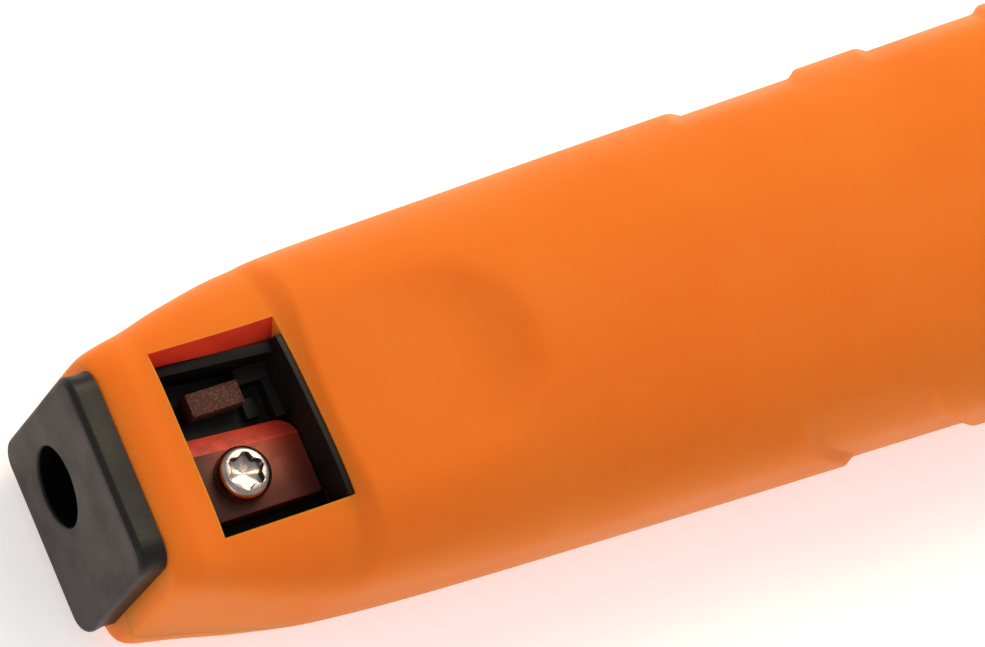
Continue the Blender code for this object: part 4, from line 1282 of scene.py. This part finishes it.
# %% Signal lens
def make_signal_lens():
    low, high = heights_of("signal_lens")
    dome = [(1.1 * math.sin(a), high - 0.5 * (1 - math.cos(a)))
            for a in np.linspace(0.02, math.pi / 2, 10)]
    item = piece("signal_lens_dome", turned(dome + [(1.1, low), (0.02, low)], 64))
    place(item, LENS_STATION, 0.0, 0.0)
    return finish(item, "housing", "signal_lens", lens_red)


make_signal_lens()

# %% Pocket clip
CLIP_LINE = ((106.0, 12.6), (107.3, 11.7), (109.0, 11.35), (112.0, 11.65), (120.0, 12.85),
             (126.0, 13.25), (128.6, 12.85), (130.6, 11.75), (132.2, 10.55), (133.7, 10.15),
             (145.0, 10.15))
CLIP_TIP = 106.0
CLIP_END = 145.0
CLIP_THICKNESS = 0.8
CLIP_HALF_WIDTH = 4.0
CLIP_CORNER = 1.6
CLIP_TAPER = 0.7            # how much narrower each side is at the tip
TAPER_START = 126.0
RIB_HEIGHT = 0.22


def clip_section(station):
    """A flat oval across the strip, narrower at the tip and with a long pressed rib."""
    ahead = along(CLIP_LINE, station + 0.05) - along(CLIP_LINE, station - 0.05)
    lean = math.atan2(ahead, 0.1)
    centre = along(CLIP_LINE, station)
    from_end = min(station - CLIP_TIP, CLIP_END - station)
    corner = math.sqrt(max(0.0, 1 - max(0.0, 1 - from_end / CLIP_CORNER) ** 2))
    half = CLIP_HALF_WIDTH - CLIP_CORNER * (1 - corner)
    if station < TAPER_START:
        half -= CLIP_TAPER * float(smooth_step(TAPER_START, CLIP_TIP, station))
    pressed = smooth_step(110.5, 113.0, station) - smooth_step(124.0, 126.5, station)
    rib = RIB_HEIGHT * float(pressed)
    row = rounded_rectangle(2 * half, CLIP_THICKNESS, 0.22, 4)
    top = [(y, CLIP_THICKNESS / 2) for y in np.linspace(half - 0.4, -half + 0.4, 17)]
    bottom = [(-y, -z) for y, z in top]
    points = []
    for y, z in row[:5] + top + row[5:15] + bottom + row[15:]:
        z += rib * math.exp(-(y / 0.9) ** 2)
        points.append(spot(station + z * -math.sin(lean), y, centre + z * math.cos(lean)))
    return points


def make_pocket_clip():
    stations = [106.02, 106.1, 106.25, 106.45, 106.7, 107.0, 107.4]
    stations += list(np.arange(107.8, 134.5, 0.4))
    stations += [136.0, 138.0, 141.0, 143.4, 144.0, 144.4, 144.7, 144.88, 144.98]
    rows = [clip_section(station) for station in stations]
    item = piece("spring_steel_clip", loft(rows), 40.0)
    item.data.materials.append(clip_steel)
    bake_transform(item)
    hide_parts("clip_foot", "pocket_clip")
    print(f"{item.name}: {len(item.data.polygons)} faces, bends off its foot")
    return item


def make_clip_rivets():
    dome = [(1.8 * math.sin(a), 10.62 + 0.6 * math.cos(a))
            for a in np.linspace(0.02, math.pi / 2, 9)]
    for number, station in enumerate(RIVET_STATIONS):
        low = heights_of(f"clip_rivet_{number + 1}")[0]
        rivet = piece(f"clip_rivet_dome_{number + 1}",
                      turned(dome + [(0.9, 10.5), (0.9, low), (0.02, low)], 64))
        place(rivet, station, 0.0, 0.0)
        finish(rivet, "housing", f"clip_rivet_{number + 1}", contact_steel)


make_pocket_clip()
make_clip_rivets()

# %% [markdown]
# ## What shows when the cap is off
# With the cap pulled off, the two cells, the springs and the bridge show. The cells are
# turned again with a smooth skin, and the springs are wound again as round wire.

# %% Cells and springs
SLEEVE_REACH = 4.6          # the sleeve folds in to this radius, and steel shows inside it


def make_cell(number, nub_to_nose):
    low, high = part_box(f"cell_{number}")
    length = (high.x - low.x) / MM
    profile = [(0.02, length), (2.4, length), (2.6, length - 0.2), (2.6, length - 0.8),
               (4.3, length - 0.8), (4.45, length - 0.6), (4.9, length - 0.6),
               (5.1, length - 0.75), (5.15, length - 1.0), (5.15, 0.5), (5.0, 0.25),
               (4.7, 0.2), (4.6, 0.0), (0.02, 0.0)]
    turn = Matrix.Rotation(math.pi / 2 if nub_to_nose else -math.pi / 2, 4, "Y")
    start = NOSE_X - (low.x if nub_to_nose else high.x) / MM
    item = piece(f"cell_{number}_sleeved", turned(profile, 96))
    place(item, start, middle_of(f"cell_{number}").y / MM, 0.0, turn)
    finish(item, "housing", f"cell_{number}", cell_wrap)
    item.data.materials.append(contact_steel)
    for face in item.data.polygons:
        centre = face.center
        off = math.hypot(centre.y - middle_of(f"cell_{number}").y, centre.z - AXIS_Z * MM) / MM
        if off < SLEEVE_REACH:
            face.material_index = 1


def make_spring(node, body, radii, turns, wire=0.3, sides=12, steps=28):
    low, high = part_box(node)
    first, last = stations_of(node)
    centre_y = (low.y + high.y) / 2 / MM
    count = int(turns * steps)
    path = []
    for index in range(count + 1):
        share = index / count
        turn = 2 * math.pi * turns * share
        radius = radii[0] + (radii[1] - radii[0]) * share
        station = first + wire + (last - first - 2 * wire) * share
        path.append(spot(station, centre_y + radius * math.cos(turn), radius * math.sin(turn)))
    rows = []
    for index, point in enumerate(path):
        ahead = path[min(index + 1, count)] - path[max(index - 1, 0)]
        side = ahead.cross(Vector((1, 0, 0))).normalized()
        up = side.cross(ahead).normalized()
        rows.append([point + (side * math.cos(a) + up * math.sin(a)) * wire * MM
                     for a in np.linspace(0, 2 * math.pi, sides, endpoint=False)])
    finish(piece(node + "_wire", loft(rows), 60.0), body, node, contact_steel)


make_cell(1, True)
make_cell(2, False)
make_spring("tail_spring_1", "tail", (2.2, 3.6), 3)
make_spring("tail_spring_2", "tail", (2.2, 3.6), 3)
make_spring("front_spring", "housing", (3.6, 2.2), 2)

# %% [markdown]
# ## The torch LED
# Through the nose hole a five-millimetre view opens on a clear LED. Its dome and its collar
# are turned, as the real ones are moulded; the black sleeve around it keeps the frame's mesh.

# %% Torch LED
def make_torch_led():
    dome = [(1.5 * math.sin(a), 3.5 + 1.5 * math.cos(a))
            for a in np.linspace(0.02, math.pi / 2, 12)]
    profile = dome + [(1.5, 1.05), (1.6, 1.0), (1.9, 0.95), (1.9, 0.0), (0.02, 0.0)]
    item = piece("torch_led_dome", turned(profile, 72), 40.0)
    place(item, stations_of("torch_led")[1], HOLE_Y, HOLE_HEIGHT,
          Matrix.Rotation(math.pi / 2, 4, "Y"))
    finish(item, "housing", "torch_led", led_epoxy)


make_torch_led()

# %% [markdown]
# ## Parts kept from the frame
# The boards, chips, contacts and switches have the right shape already. They keep the
# frame's mesh and only take a finish.

# %% Finishes for the frame's own meshes
KEPT = {
    "led_sleeve": insert_nylon, "led_leg_1": contact_steel, "led_leg_2": contact_steel,
    "antenna_strip": copper_strip, "circuit_board": board_green,
    "controller_chip": chip_epoxy, "buzzer": insert_nylon, "capacitor": capacitor_sleeve,
    "resistor_1": chip_epoxy, "resistor_2": chip_epoxy, "resistor_3": chip_epoxy,
    "signal_led": led_ceramic, "power_switch": contact_steel, "power_plunger": insert_nylon,
    "torch_switch": contact_steel, "torch_plunger": insert_nylon, "contact_board": board_tan,
    "front_plate": contact_steel, "tail_bridge": contact_steel,
}
for name, kept_finish in KEPT.items():
    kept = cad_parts[name]
    kept.data.materials.clear()
    kept.data.materials.append(kept_finish)
print("kept from the frame:", len(KEPT))
